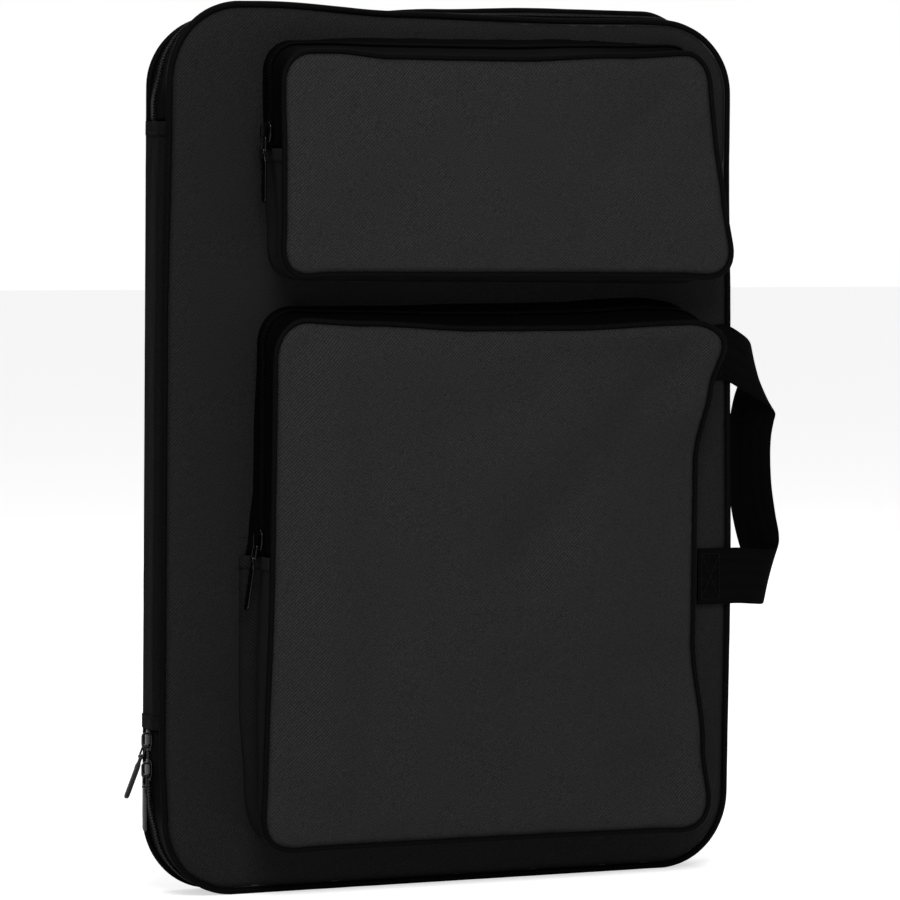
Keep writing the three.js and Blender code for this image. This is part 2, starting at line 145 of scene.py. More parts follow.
@dataclass(frozen=True)
class Outline:
    """A rectangle with round corners, walked up its left side from a starting height, over and round."""

    x0: float
    x1: float
    z0: float
    z1: float
    r: float
    start: float

    @property
    def quarter(self) -> float:
        """Length of one corner."""
        return math.pi * self.r / 2

    @property
    def rise(self) -> float:
        """Length from the start to the top left corner."""
        return self.z1 - self.r - self.start

    @property
    def upper(self) -> float:
        """Length from the start over the top to the same height on the right side."""
        return 2 * self.rise + 2 * self.quarter + self.x1 - self.x0 - 2 * self.r

    @property
    def length(self) -> float:
        """Length all the way round."""
        sides = 2 * (self.x1 - self.x0 + self.z1 - self.z0 - 4 * self.r)
        return sides + 4 * self.quarter

    def at(self, distance: float) -> Station:
        """The station this far along.

        Args:
            distance: millimetres from the start, up the left side first.

        Returns:
            The station there.
        """
        wide = self.x1 - self.x0 - 2 * self.r
        high = self.z1 - self.z0 - 2 * self.r
        left, right, low, top = self.x0 + self.r, self.x1 - self.r, self.z0 + self.r, self.z1 - self.r
        legs = [
            (self.rise, None, (self.x0, self.start), 180),
            (self.quarter, (left, top), None, 180),
            (wide, None, (left, self.z1), 90),
            (self.quarter, (right, top), None, 90),
            (high, None, (self.x1, top), 0),
            (self.quarter, (right, low), None, 0),
            (wide, None, (right, self.z0), -90),
            (self.quarter, (left, low), None, -90),
            (self.start - low, None, (self.x0, low), -180),
        ]
        rest = distance % self.length
        for long, centre, begin, degrees in legs:
            if rest <= long:
                break
            rest -= long
        angle = math.radians(degrees)
        if centre:
            angle -= rest / self.r
            nx, nz = math.cos(angle), math.sin(angle)
            return Station(centre[0] + self.r * nx, centre[1] + self.r * nz, nx, nz)
        nx, nz = math.cos(angle), math.sin(angle)
        return Station(begin[0] + nz * rest, begin[1] - nx * rest, nx, nz)

    def inside(self, x: float, z: float) -> float:
        """How far inside the outline a point is."""
        a = abs(x - (self.x0 + self.x1) / 2) - (self.x1 - self.x0) / 2 + self.r
        b = abs(z - (self.z0 + self.z1) / 2) - (self.z1 - self.z0) / 2 + self.r
        return self.r - math.hypot(max(a, 0), max(b, 0)) - min(max(a, b), 0)

    def fill(self, u: float, v: float) -> tuple[float, float]:
        """The point of the rounded rectangle that a point of the unit square stands for."""
        x, z = (u - 0.5) * (self.x1 - self.x0), (v - 0.5) * (self.z1 - self.z0)
        cx, cz = (self.x1 - self.x0) / 2 - self.r, (self.z1 - self.z0) / 2 - self.r
        a, b = (abs(x) - cx) / self.r, (abs(z) - cz) / self.r
        if a > 0 and b > 0:
            x = math.copysign(cx + self.r * a * math.sqrt(1 - b * b / 2), x)
            z = math.copysign(cz + self.r * b * math.sqrt(1 - a * a / 2), z)
        return x + (self.x0 + self.x1) / 2, z + (self.z0 + self.z1) / 2

    def shrunk(self, inset: float) -> "Outline":
        """The outline this far inside."""
        return Outline(
            self.x0 + inset, self.x1 - inset, self.z0 + inset, self.z1 - inset, self.r - inset, self.start
        )


# ------------------------------------------------------------------------------------ mesh work
def drape(columns: int, rows: int, place: Place, size: tuple[float, float],
          welded: bool = False) -> bmesh.types.BMesh:
    """Lays a grid over a formula, with a map in metres for the weave.

    Args:
        columns: cells along the first way.
        rows: cells along the second way.
        place: gives the point for a pair of numbers from 0 to 1.
        size: length of each way in millimetres, for the map.
        welded: whether edges that meet are joined.

    Returns:
        The mesh.
    """
    bm = bmesh.new()
    bmesh.ops.create_grid(bm, x_segments=columns, y_segments=rows, size=0.5)
    weave = bm.loops.layers.uv.new(WEAVE_MAP)
    for face in bm.faces:
        for corner in face.loops:
            u, v = corner.vert.co.x + 0.5, corner.vert.co.y + 0.5
            corner[weave].uv = (u * size[0] * MM, v * size[1] * MM)
    for vert in bm.verts:
        vert.co = place(vert.co.x + 0.5, vert.co.y + 0.5)
    if welded:
        bmesh.ops.remove_doubles(bm, verts=bm.verts, dist=0.002)
        bmesh.ops.recalc_face_normals(bm, faces=bm.faces)
    return bm


def block(size: tuple[float, float, float], bevel: float, segments: int = 1) -> bpy.types.Mesh:
    """A small bevelled block to stamp along a row.

    Args:
        size: its length, width and height.
        bevel: how much its edges are cut.
        segments: steps in each rounded edge.

    Returns:
        The mesh, standing on its own origin.
    """
    bm = bmesh.new()
    bmesh.ops.create_cube(bm, size=1)
    bmesh.ops.scale(bm, vec=size, verts=bm.verts)
    bmesh.ops.translate(bm, vec=(0, 0, size[2] / 2), verts=bm.verts)
    bmesh.ops.bevel(
        bm, geom=bm.edges[:], offset=bevel, segments=segments, profile=0.5, affect="EDGES", material=-1
    )
    mesh = bpy.data.meshes.new("block")
    bm.to_mesh(mesh)
    bm.free()
    return mesh


def stamp(shape: bpy.types.Mesh, places: Iterable[Matrix]) -> bmesh.types.BMesh:
    """One mesh with a copy of a shape at each place."""
    bm = bmesh.new()
    for place in places:
        copy = shape.copy()
        copy.transform(place)
        bm.from_mesh(copy)
        bpy.data.meshes.remove(copy)
    bpy.data.meshes.remove(shape)
    return bm


@dataclass
class Bench:
    """Finishes millimetre meshes as pieces in the row frame, in metres."""

    offset: Vector = field(default_factory=Vector)

    def __post_init__(self) -> None:
        """Finds the case's own frame from its piping."""
        front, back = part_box("front_piping"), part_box("back_piping")
        self.offset = Vector(((front[0].x + front[1].x) / 2, (front[0].y + back[1].y) / 2, front[0].z))

    def row(self, point: tuple[float, float, float] | Vector) -> Vector:
        """A point of the case's own frame, in the row frame."""
        return Vector(point) * MM + self.offset

    def home(self, point: Vector) -> Vector:
        """A point of the row frame, in the case's own frame."""
        return (point - self.offset) / MM

    def finish(self, bm: bmesh.types.BMesh, name: str, material: bpy.types.Material, slot: Slot | None = None,
               nodes: Iterable[str] = (), wall: float = 0.0, angle: float = 50.0) -> bpy.types.Object:
        """Makes a mesh a named piece in its place.

        Args:
            bm: the mesh, in millimetres, which is used up.
            name: the piece's name.
            material: its material.
            slot: not used.
            nodes: CAD nodes that it stands for.
            wall: thickness that a sheet gets, inwards, in millimetres.
            angle: edges sharper than this stay sharp, in degrees.

        Returns:
            The piece.
        """
        bmesh.ops.scale(bm, vec=(MM, MM, MM), verts=bm.verts)
        bmesh.ops.translate(bm, vec=self.offset, verts=bm.verts)
        for face in bm.faces:
            face.smooth = True
        for edge in bm.edges:
            if len(edge.link_faces) == 2 and edge.calc_face_angle(0) > math.radians(angle):
                edge.smooth = False
        mesh = bpy.data.meshes.new(name)
        bm.to_mesh(mesh)
        bm.free()
        piece = bpy.data.objects.new(name, mesh)
        bpy.context.scene.collection.objects.link(piece)
        mesh.materials.append(material)
        if wall:
            sheet = piece.modifiers.new("wall", "SOLIDIFY")
            sheet.thickness = wall * MM
            sheet.offset = -1
        if nodes:
            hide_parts(*nodes)
        log.info("%s: %d faces", name, len(mesh.polygons))
        return piece

    def bend(self, piece: bpy.types.Object, bodies: tuple[str, str], start: tuple[float, float, float],
             end: tuple[float, float, float]) -> None:
        """Bakes a piece's place into its mesh."""
        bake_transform(piece)


def puff(piece: bpy.types.Object, rim: Callable[[Vector], bool], cap: float, pressure: float) -> None:
    """Blows a sewn sheet up a little as cloth, with its rim held.

    Args:
        piece: a sheet in its place.
        rim: tells whether a vertex is sewn down.
        cap: the most that a vertex may move, in metres.
        pressure: the cloth's pressure.
    """
    wall = piece.modifiers.get("wall")
    if wall:
        wall.show_viewport = False
    rest = [vert.co.copy() for vert in piece.data.vertices]
    held = piece.vertex_groups.new(name="sewn")
    held.add([i for i, co in enumerate(rest) if rim(co)], 1.0, "REPLACE")
    cloth = piece.modifiers.new("cloth", "CLOTH")
    cloth.settings.vertex_group_mass = "sewn"
    cloth.settings.quality = 5
    cloth.settings.mass = 0.4
    cloth.settings.tension_stiffness = 25
    cloth.settings.compression_stiffness = 25
    cloth.settings.shear_stiffness = 12
    cloth.settings.bending_stiffness = 2
    cloth.settings.shrink_min = -0.004
    cloth.settings.use_pressure = True
    cloth.settings.uniform_pressure_force = pressure
    cloth.settings.effector_weights.gravity = 0
    cloth.point_cache.frame_start, cloth.point_cache.frame_end = 1, SIM_FRAMES
    scene = bpy.context.scene
    for moment in range(1, SIM_FRAMES + 1):
        scene.frame_set(moment)
    moved = piece.evaluated_get(bpy.context.evaluated_depsgraph_get()).to_mesh()
    shifts = [vert.co - co for vert, co in zip(moved.vertices, rest)]
    for vert, co, shift in zip(piece.data.vertices, rest, shifts):
        far = shift.length
        vert.co = co + (shift * (cap * math.tanh(far / cap) / far) if far > 1e-9 else Vector())
    piece.modifiers.remove(cloth)
    piece.vertex_groups.remove(held)
    scene.frame_set(1)
    if wall:
        wall.show_viewport = True


# ------------------------------------------------------------------------------------ finishes
class Shading:
    """A material's nodes, wired one at a time."""

    def __init__(self, name: str) -> None:
        """Starts an empty material with a surface shader."""
        self.material = bpy.data.materials.new(name)
        self.material.use_nodes = True
        self.tree = self.material.node_tree
        self.tree.nodes.clear()
        self.shader = self.tree.nodes.new("ShaderNodeBsdfPrincipled")
        output = self.tree.nodes.new("ShaderNodeOutputMaterial")
        self.tree.links.new(self.shader.outputs[0], output.inputs[0])

    def node(self, kind: str, inputs: dict, **settings: object) -> bpy.types.Node:
        """Adds a node.

        Args:
            kind: the node's type.
            inputs: what goes into its sockets, a number, a colour or another node's output.
            settings: its other properties.

        Returns:
            The node.
        """
        made = self.tree.nodes.new(kind)
        for name, value in settings.items():
            setattr(made, name, value)
        for name, value in inputs.items():
            if isinstance(value, bpy.types.NodeSocket):
                self.tree.links.new(value, made.inputs[name])
            else:
                made.inputs[name].default_value = value
        return made

    def sum(self, operation: str, *values: float | bpy.types.NodeSocket) -> bpy.types.NodeSocket:
        """One step of arithmetic on numbers and outputs."""
        return self.node("ShaderNodeMath", dict(enumerate(values)), operation=operation).outputs[0]

    def noise(self, vector: bpy.types.NodeSocket, scale: float, detail: float = 2.0) -> bpy.types.NodeSocket:
        """Cloudy variation from 0 to 1."""
        found = self.node("ShaderNodeTexNoise", {"Vector": vector, "Scale": scale, "Detail": detail})
        return found.outputs["Fac"]

    def ramp(self, value: bpy.types.NodeSocket, low: float, high: float) -> bpy.types.NodeSocket:
        """Stretches a value from 0..1 to low..high."""
        inputs = {"Value": value, "To Min": low, "To Max": high}
        return self.node("ShaderNodeMapRange", inputs).outputs[0]

    def tint(self, colour: tuple[float, float, float], share: bpy.types.NodeSocket) -> bpy.types.NodeSocket:
        """A colour made lighter and darker by a share."""
        scaled = self.node("ShaderNodeVectorMath", {0: colour, "Scale": share}, operation="SCALE")
        return scaled.outputs[0]

    def surface(self, **inputs: object) -> None:
        """Sets or links the shader's sockets, whose names are given with _ for spaces."""
        for name, value in inputs.items():
            socket = self.shader.inputs[name.replace("_", " ")]
            if isinstance(value, bpy.types.NodeSocket):
                self.tree.links.new(value, socket)
            else:
                socket.default_value = value

    def relief(self, height: bpy.types.NodeSocket, depth: float) -> bpy.types.NodeSocket:
        """A bump of that depth in metres."""
        inputs = {"Height": height, "Distance": depth, "Strength": 1.0}
        return self.node("ShaderNodeBump", inputs).outputs[0]


@dataclass(frozen=True)
class Woven:
    """Cloth of crossing threads."""

    name: str
    colour: tuple[float, float, float]
    thread: float = 0.5 * MM
    twill: float = 1.4 * MM
    depth: float = 0.22 * MM
    valley: float = 0.0
    roughness: float = 0.78
    sheen: float = 0.0
    specular: float = 0.07
    pattern: Pattern = Pattern.OBJECT

    def make(self) -> bpy.types.Material:
        """Builds the material."""
        sh = Shading(self.name)
        place = sh.node("ShaderNodeTexCoord", {}).outputs["Object"]
        if self.pattern is Pattern.SURFACE:
            source = sh.node("ShaderNodeUVMap", {}, uv_map=WEAVE_MAP).outputs[0]
            split = sh.node("ShaderNodeSeparateXYZ", {0: source}).outputs
            across, along = split[0], split[1]
        else:
            split = sh.node("ShaderNodeSeparateXYZ", {0: place}).outputs
            across = sh.sum("ADD", split[0], split[1])
            along = sh.sum("ADD", split[2], split[1])
        waves = [sh.sum("SINE", sh.sum("MULTIPLY", way, math.pi / self.thread)) for way in (across, along)]
        over = sh.sum("GREATER_THAN", sh.sum("MULTIPLY", waves[0], waves[1]), 0.0)
        crowns = [sh.sum("POWER", sh.sum("ABSOLUTE", wave), 0.6) for wave in waves]
        weft = sh.sum("MULTIPLY", crowns[1], over)
        warp = sh.sum("MULTIPLY", crowns[0], sh.sum("SUBTRACT", 1.0, over))
        threads = sh.sum("ADD", sh.sum("MULTIPLY", warp, 0.85), weft)
        slub = sh.noise(place, 1500.0, 2.0)
        cloud = sh.noise(place, 14.0, 3.0)
        lean = sh.sum("ADD", sh.sum("SUBTRACT", across, along), sh.sum("MULTIPLY", slub, 0.2 * self.twill))
        rib = sh.sum("SINE", sh.sum("MULTIPLY", lean, 2 * math.pi / (self.twill * math.sqrt(2))))
        rib = sh.ramp(rib, 0.5, 1.0)
        height = sh.sum("ADD", sh.sum("MULTIPLY", threads, 0.15), sh.sum("MULTIPLY", rib, 0.95))
        # The colour darkens in the low parts of the threads and twill ribs: partly the weave's own pattern,
        # partly painted shade in its hollows.
        shade = sh.sum("MULTIPLY", sh.ramp(height, self.valley, 1.75), sh.ramp(slub, -0.1, 2.1))
        shade = sh.sum("MULTIPLY", shade, sh.ramp(cloud, 0.93, 1.07))
        raised = sh.sum("ADD", height, sh.sum("MULTIPLY", slub, 0.8))
        sh.surface(
            Base_Color=sh.tint(self.colour, shade),
            Roughness=sh.ramp(slub, self.roughness - 0.08, self.roughness + 0.08),
            Normal=sh.relief(raised, self.depth),
            Sheen_Weight=self.sheen,
            Sheen_Roughness=0.5,
            Specular_IOR_Level=self.specular,
        )
        return sh.material


@dataclass(frozen=True)
class Ribbed:
    """Narrow woven stuff, such as tape and webbing, with ribs along it or across it."""

    name: str
    colour: tuple[float, float, float]
    rib: float
    pick: float
    depth: float
    roughness: float
    sheen: float
    specular: float

    def make(self) -> bpy.types.Material:
        """Builds the material, whose ribs follow the piece's own map."""
        sh = Shading(self.name)
        source = sh.node("ShaderNodeUVMap", {}, uv_map=WEAVE_MAP).outputs[0]
        split = sh.node("ShaderNodeSeparateXYZ", {0: source}).outputs
        place = sh.node("ShaderNodeTexCoord", {}).outputs["Object"]
        ribs = sh.sum("ABSOLUTE", sh.sum("SINE", sh.sum("MULTIPLY", split[1], math.pi / self.rib)))
        lean = sh.sum("PINGPONG", split[1], self.rib)
        run = sh.sum("ADD", split[0], sh.sum("MULTIPLY", lean, 0.6))
        picks = sh.sum("ABSOLUTE", sh.sum("SINE", sh.sum("MULTIPLY", run, math.pi / self.pick)))
        height = sh.sum("ADD", sh.sum("MULTIPLY", ribs, 0.6), sh.sum("MULTIPLY", picks, 0.5))
        fuzz = sh.noise(place, 700.0, 3.0)
        # The colour darkens between the ribs and picks: partly the weave's own pattern, partly painted shade
        # in its hollows.
        shade = sh.sum("MULTIPLY", sh.ramp(height, 0.5, 1.25), sh.ramp(fuzz, 0.75, 1.25))
        sh.surface(
            Base_Color=sh.tint(self.colour, shade),
            Roughness=sh.ramp(fuzz, self.roughness - 0.1, self.roughness + 0.1),
            Normal=sh.relief(sh.sum("ADD", height, sh.sum("MULTIPLY", fuzz, 0.35)), self.depth),
            Sheen_Weight=self.sheen,
            Sheen_Roughness=0.45,
            Specular_IOR_Level=self.specular,
        )
        return sh.material


@dataclass(frozen=True)
class Moulded:
    """Nylon, thread or board: one colour with a fine grain."""

    name: str
    colour: tuple[float, float, float]
    roughness: float
    grain: float = 900.0
    depth: float = 0.03 * MM
    specular: float = 0.3

    def make(self) -> bpy.types.Material:
        """Builds the material."""
        sh = Shading(self.name)
        place = sh.node("ShaderNodeTexCoord", {}).outputs["Object"]
        grain = sh.noise(place, self.grain, 3.0)
        cloud = sh.noise(place, self.grain / 12, 2.0)
        sh.surface(
            Base_Color=sh.tint(self.colour, sh.ramp(cloud, 0.8, 1.2)),
            Roughness=sh.ramp(grain, self.roughness - 0.1, self.roughness + 0.12),
            Normal=sh.relief(grain, self.depth),
            Specular_IOR_Level=self.specular,
        )
        return sh.material


@dataclass(frozen=True)
class Plated:
    """Dark plated metal with fine rubbed marks and brighter worn patches."""

    name: str
    colour: tuple[float, float, float]
    roughness: float

    def make(self) -> bpy.types.Material:
        """Builds the material."""
        sh = Shading(self.name)
        place = sh.node("ShaderNodeTexCoord", {}).outputs["Object"]
        stretch = sh.node("ShaderNodeMapping", {"Vector": place, "Scale": (9.0, 9.0, 1.0)}).outputs[0]
        rub = sh.noise(stretch, 420.0, 4.0)
        wear = sh.noise(place, 160.0, 3.0)
        sh.surface(
            Base_Color=sh.tint(self.colour, sh.ramp(wear, 0.75, 1.3)),
            Metallic=1.0,
            Roughness=sh.ramp(rub, self.roughness - 0.07, self.roughness + 0.13),
            Normal=sh.relief(rub, 0.008 * MM),
        )
        return sh.material


@dataclass
class Wardrobe:
    """Every finish on the case; the panel, gusset and side finishes are the shell cloth made darker, as
    painted shade.
    """

    shell: bpy.types.Material = field(init=False)
    panel: bpy.types.Material = field(init=False)
    gusset: bpy.types.Material = field(init=False)
    side: bpy.types.Material = field(init=False)
    lining: bpy.types.Material = field(init=False)
    piping: bpy.types.Material = field(init=False)
    tape: bpy.types.Material = field(init=False)
    coil: bpy.types.Material = field(init=False)
    webbing: bpy.types.Material = field(init=False)
    thread: bpy.types.Material = field(init=False)
    board: bpy.types.Material = field(init=False)
    metal: bpy.types.Material = field(init=False)

    def __post_init__(self) -> None:
        """Makes them."""
        self.shell = Woven("shell_cloth", (0.017, 0.017, 0.0173)).make()
        # panel: the shell cloth again, made darker to paint shade onto the covers round the pockets
        self.panel = Woven("panel_cloth_painted_shade", (0.0102, 0.0102, 0.0104)).make()
        # gusset: the shell cloth darker still: painted shade on the pockets' walls
        self.gusset = Woven("gusset_cloth_painted_shade", (0.0062, 0.0062, 0.0063), pattern=Pattern.SURFACE).make()
        # side: the shell cloth darkest of all: painted shade on the spine at the case's left side
        self.side = Woven(
            "side_cloth_painted_shade", (0.0045, 0.0045, 0.0046), specular=0.03, pattern=Pattern.SURFACE,
        ).make()
        self.lining = Woven(
            "lining_cloth", (0.008, 0.008, 0.0085), thread=0.35 * MM, twill=0.9 * MM, depth=0.05 * MM,
            roughness=0.55, sheen=0.05, specular=0.2,
        ).make()
        self.piping = Woven(
            "piping_cloth", (0.0022, 0.0022, 0.0023), thread=0.4 * MM, twill=1.0 * MM, depth=0.06 * MM,
            valley=0.6, roughness=0.55, specular=0.02, pattern=Pattern.SURFACE,
        ).make()
        self.tape = Ribbed(
            "zip_tape", (0.0016, 0.0016, 0.0017), rib=0.9 * MM, pick=0.7 * MM, depth=0.05 * MM,
            roughness=0.55, sheen=0.0, specular=0.03,
        ).make()
        self.coil = Moulded("zip_nylon", (0.003, 0.003, 0.0032), roughness=0.42, specular=0.08).make()
        self.webbing = Ribbed(
            "webbing", (0.0016, 0.0016, 0.0017), rib=1.9 * MM, pick=1.1 * MM, depth=0.25 * MM, roughness=0.65,
            sheen=0.0, specular=0.03,
        ).make()
        self.thread = Moulded(
            "sewing_thread", (0.003, 0.003, 0.0031), roughness=0.55, grain=1400.0, specular=0.08,
        ).make()
        self.board = Moulded("stiff_board", (0.02, 0.02, 0.021), roughness=0.5, grain=300.0).make()
        self.metal = Plated("gunmetal", (0.035, 0.035, 0.037), roughness=0.22).make()


# ------------------------------------------------------------------------------------ more mesh work
def thicken(bm: bmesh.types.BMesh, shift: Vector) -> bmesh.types.BMesh:
    """Makes a sheet a solid by extruding it along a shift."""
    made = bmesh.ops.extrude_face_region(bm, geom=bm.faces[:])["geom"]
    bmesh.ops.translate(bm, vec=shift, verts=[item for item in made if isinstance(item, bmesh.types.BMVert)])
    bmesh.ops.recalc_face_normals(bm, faces=bm.faces)
    return bm


def ease_edges(bm: bmesh.types.BMesh, offset: float, segments: int, angle: float = 40.0) -> bmesh.types.BMesh:
    """Rounds every edge that is sharper than an angle in degrees."""
    sharp = [edge for edge in bm.edges if edge.calc_face_angle(0) > math.radians(angle)]
    bmesh.ops.bevel(
        bm, geom=sharp, offset=offset, segments=segments, profile=0.5, affect="EDGES", material=-1,
        clamp_overlap=True,
    )
    return bm


def combine(parts: Iterable[bmesh.types.BMesh]) -> bmesh.types.BMesh:
    """Puts several meshes in one."""
    whole = bmesh.new()
    for part in parts:
        mesh = bpy.data.meshes.new("part")
        part.to_mesh(mesh)
        part.free()
        whole.from_mesh(mesh)
        bpy.data.meshes.remove(mesh)
    return whole


def boxy(value: float, power: float = 0.5) -> float:
    """A sine or cosine pushed towards a square wave."""
    return math.copysign(abs(value) ** power, value)


def bar(columns: int, sides: int, path: Callable[[float], Vector], across: Callable[[float], Vector],
        half: tuple[float, float], length: float, closed: bool = False,
        power: float = 0.5) -> bmesh.types.BMesh:
    """A bar of one boxy section along a path.

    Args:
        columns: steps along the path.
        sides: steps round the section.
        path: gives the middle of the bar for a number from 0 to 1.
        across: gives the direction of the section's width there.
        half: half the section's width and half its thickness.
        length: the bar's length, for the weave's map.
        closed: whether the path ends where it starts.
        power: how square the section is, from 0 to 1 for round.

    Returns:
        The mesh, closed.
    """
    step = 0.5 / columns

    def place(u: float, v: float) -> Vector:
        """The point for a share of each way."""
        if closed:
            along = path((u + step) % 1) - path((u - step) % 1)
        else:
            along = path(min(1, u + step)) - path(max(0, u - step))
        side = across(u)
        thick = along.cross(side).normalized()
        turn = 2 * math.pi * v
        wide, deep = half[0] * boxy(math.cos(turn), power), half[1] * boxy(math.sin(turn), power)
        return path(u) + side * wide + thick * deep

    bm = drape(columns, sides, place, (length, 2 * (half[0] + half[1]) * 2), welded=True)
    if not closed:
        bmesh.ops.holes_fill(bm, edges=[edge for edge in bm.edges if edge.is_boundary])
        bmesh.ops.recalc_face_normals(bm, faces=bm.faces)
    return bm


def along_line(points: list[Vector], u: float) -> Vector:
    """A point of the smooth curve through a list of points, for a number from 0 to 1."""
    place = u * (len(points) - 1)
    i = min(int(place), len(points) - 2)
    t = place - i
    a, b, c, d = (points[min(max(k, 0), len(points) - 1)] for k in (i - 1, i, i + 1, i + 2))
    bend, twist = 2 * a - 5 * b + 4 * c - d, 3 * b - a - 3 * c + d
    return 0.5 * (2 * b + (c - a) * t + bend * t * t + twist * t ** 3)


def wander(x: float, z: float, size: float, seed: float) -> float:
    """Smooth unevenness from about -1 to 1 that repeats nowhere, for lumps of this size."""
    return noise.noise(Vector((x / size, z / size, seed)))


def stitches(start: Vector, end: Vector, out: Vector, pitch: float = 3.2) -> list[Matrix]:
    """Places for a row of stitches on a surface that faces out."""
    count = max(1, round((end - start).length / pitch))
    along = (end - start).normalized()
    axes = Matrix((along, out.cross(along), out)).transposed().to_4x4()
    return [Matrix.Translation(start.lerp(end, (i + 0.5) / count)) @ axes for i in range(count)]


def thread_block() -> bpy.types.Mesh:
    """One stitch of sewing thread."""
    return block((2.5, 0.5, 0.4), 0.16)


def tooth_block() -> bpy.types.Mesh:
    """One turn of a zip's coil."""
    return block((0.86, 2.5, 1.3), 0.3)


# ------------------------------------------------------------------------------------ the case
TOOTH_PITCH = 1.6
ZIP_LOW, ZIP_HIGH = 91.0, 419.0
SIDE_BOW = 3.0
HALF_DEPTH = 16.0
SIM_FRAMES = 20
CASE = Outline(-175, 175, 0, 480, 42, start=ZIP_HIGH)


# How far the top edge has lifted, along each cover, and how far the front cover's sides lean, up its height.
FRONT_TOP = [(-160, 4.0), (-115, 4.6), (-35, 0.6), (60, -1.2), (120, -0.6), (150, -2.0)]
BACK_TOP = [(-165, -3.0), (-120, -3.6), (-60, 0.0), (0, 3.2), (60, 5.0), (130, 4.6), (165, 1.5)]
FRONT_LEFT = [(40, -1.5), (80, -3.2), (300, -3.0), (430, -1.0)]
FRONT_RIGHT = [(30, 1.2), (165, 2.2), (300, 0.4), (400, -1.6)]


def slacken(co: Vector) -> Vector:
    """How the closed case has settled: its covers' edges lift, sag and lean a little, each in its own way."""
    x, y, z = co
    front = smooth(16, -16, y)
    rise = mix(through(BACK_TOP, x), through(FRONT_TOP, x), front) * smooth(425, 480, z)
    lean = through(FRONT_LEFT, z) * smooth(-110, -175, x) + through(FRONT_RIGHT, z) * smooth(110, 175, x)
    return Vector((x + front * lean, y, z + rise))


def bow(co: Vector) -> Vector:
    """How the cloth between the two covers bows out at the left side."""
    x, y, z = co
    share = smooth(34, 52, z) * smooth(446, 428, z) * smooth(-150, -168, x)
    return slacken(Vector((x - SIDE_BOW * share * max(0.0, 1 - (y / 14.2) ** 2), y, z)))


def zip_tape(station: Callable[[float], Station], across: tuple[float, float], middle: float, out: float,
             settle: Settle, size: tuple[float, float]) -> bmesh.types.BMesh:
    """One side of a zip's tape, with the raised cord that the teeth are sewn on.

    Args:
        station: gives the place on the outline for a number from 0 to 1.
        across: the tape's two edges, in depth, the lower number first.
        middle: depth of the zip's middle.
        out: how far outside the outline the tape lies.
        settle: moves a point as the cloth has settled.
        size: the tape's length and width.

    Returns:
        The mesh.
    """
    def place(u: float, v: float) -> Vector:
        """The point for a share of each way."""
        y = mix(across[0], across[1], v)
        ridge = 0.5 * hill(abs(y - middle) - 3.2, 0.55)
        ripple = 0.18 * wander(u * size[0], y, 22, middle)
        return settle(station(u).out(out + ridge + ripple, y))

    return drape(round(size[0] / 3), 14, place, size)


def zip_teeth(station: Callable[[float], Station], length: float, middle: float, side: int, out: float,
              settle: Settle) -> bmesh.types.BMesh:
    """One side's row of teeth, which stand between the other side's.

    Args:
        station: gives the place on the outline for a number from 0 to 1.
        length: the row's length.
        middle: depth of the zip's middle.
        side: 1 for the row behind the middle and -1 for the one in front.
        out: how far outside the outline the row stands.
        settle: moves a point as the cloth has settled.

    Returns:
        The mesh.
    """
    count = int(length / TOOTH_PITCH) - 1
    places = []
    for i in range(count):
        here = station((i + (0.75 if side > 0 else 0.25)) * TOOTH_PITCH / length)
        seat = here.matrix(out, middle + side * 1.0)
        seat.translation = settle(seat.translation)
        places.append(seat)
    return stamp(tooth_block(), places)


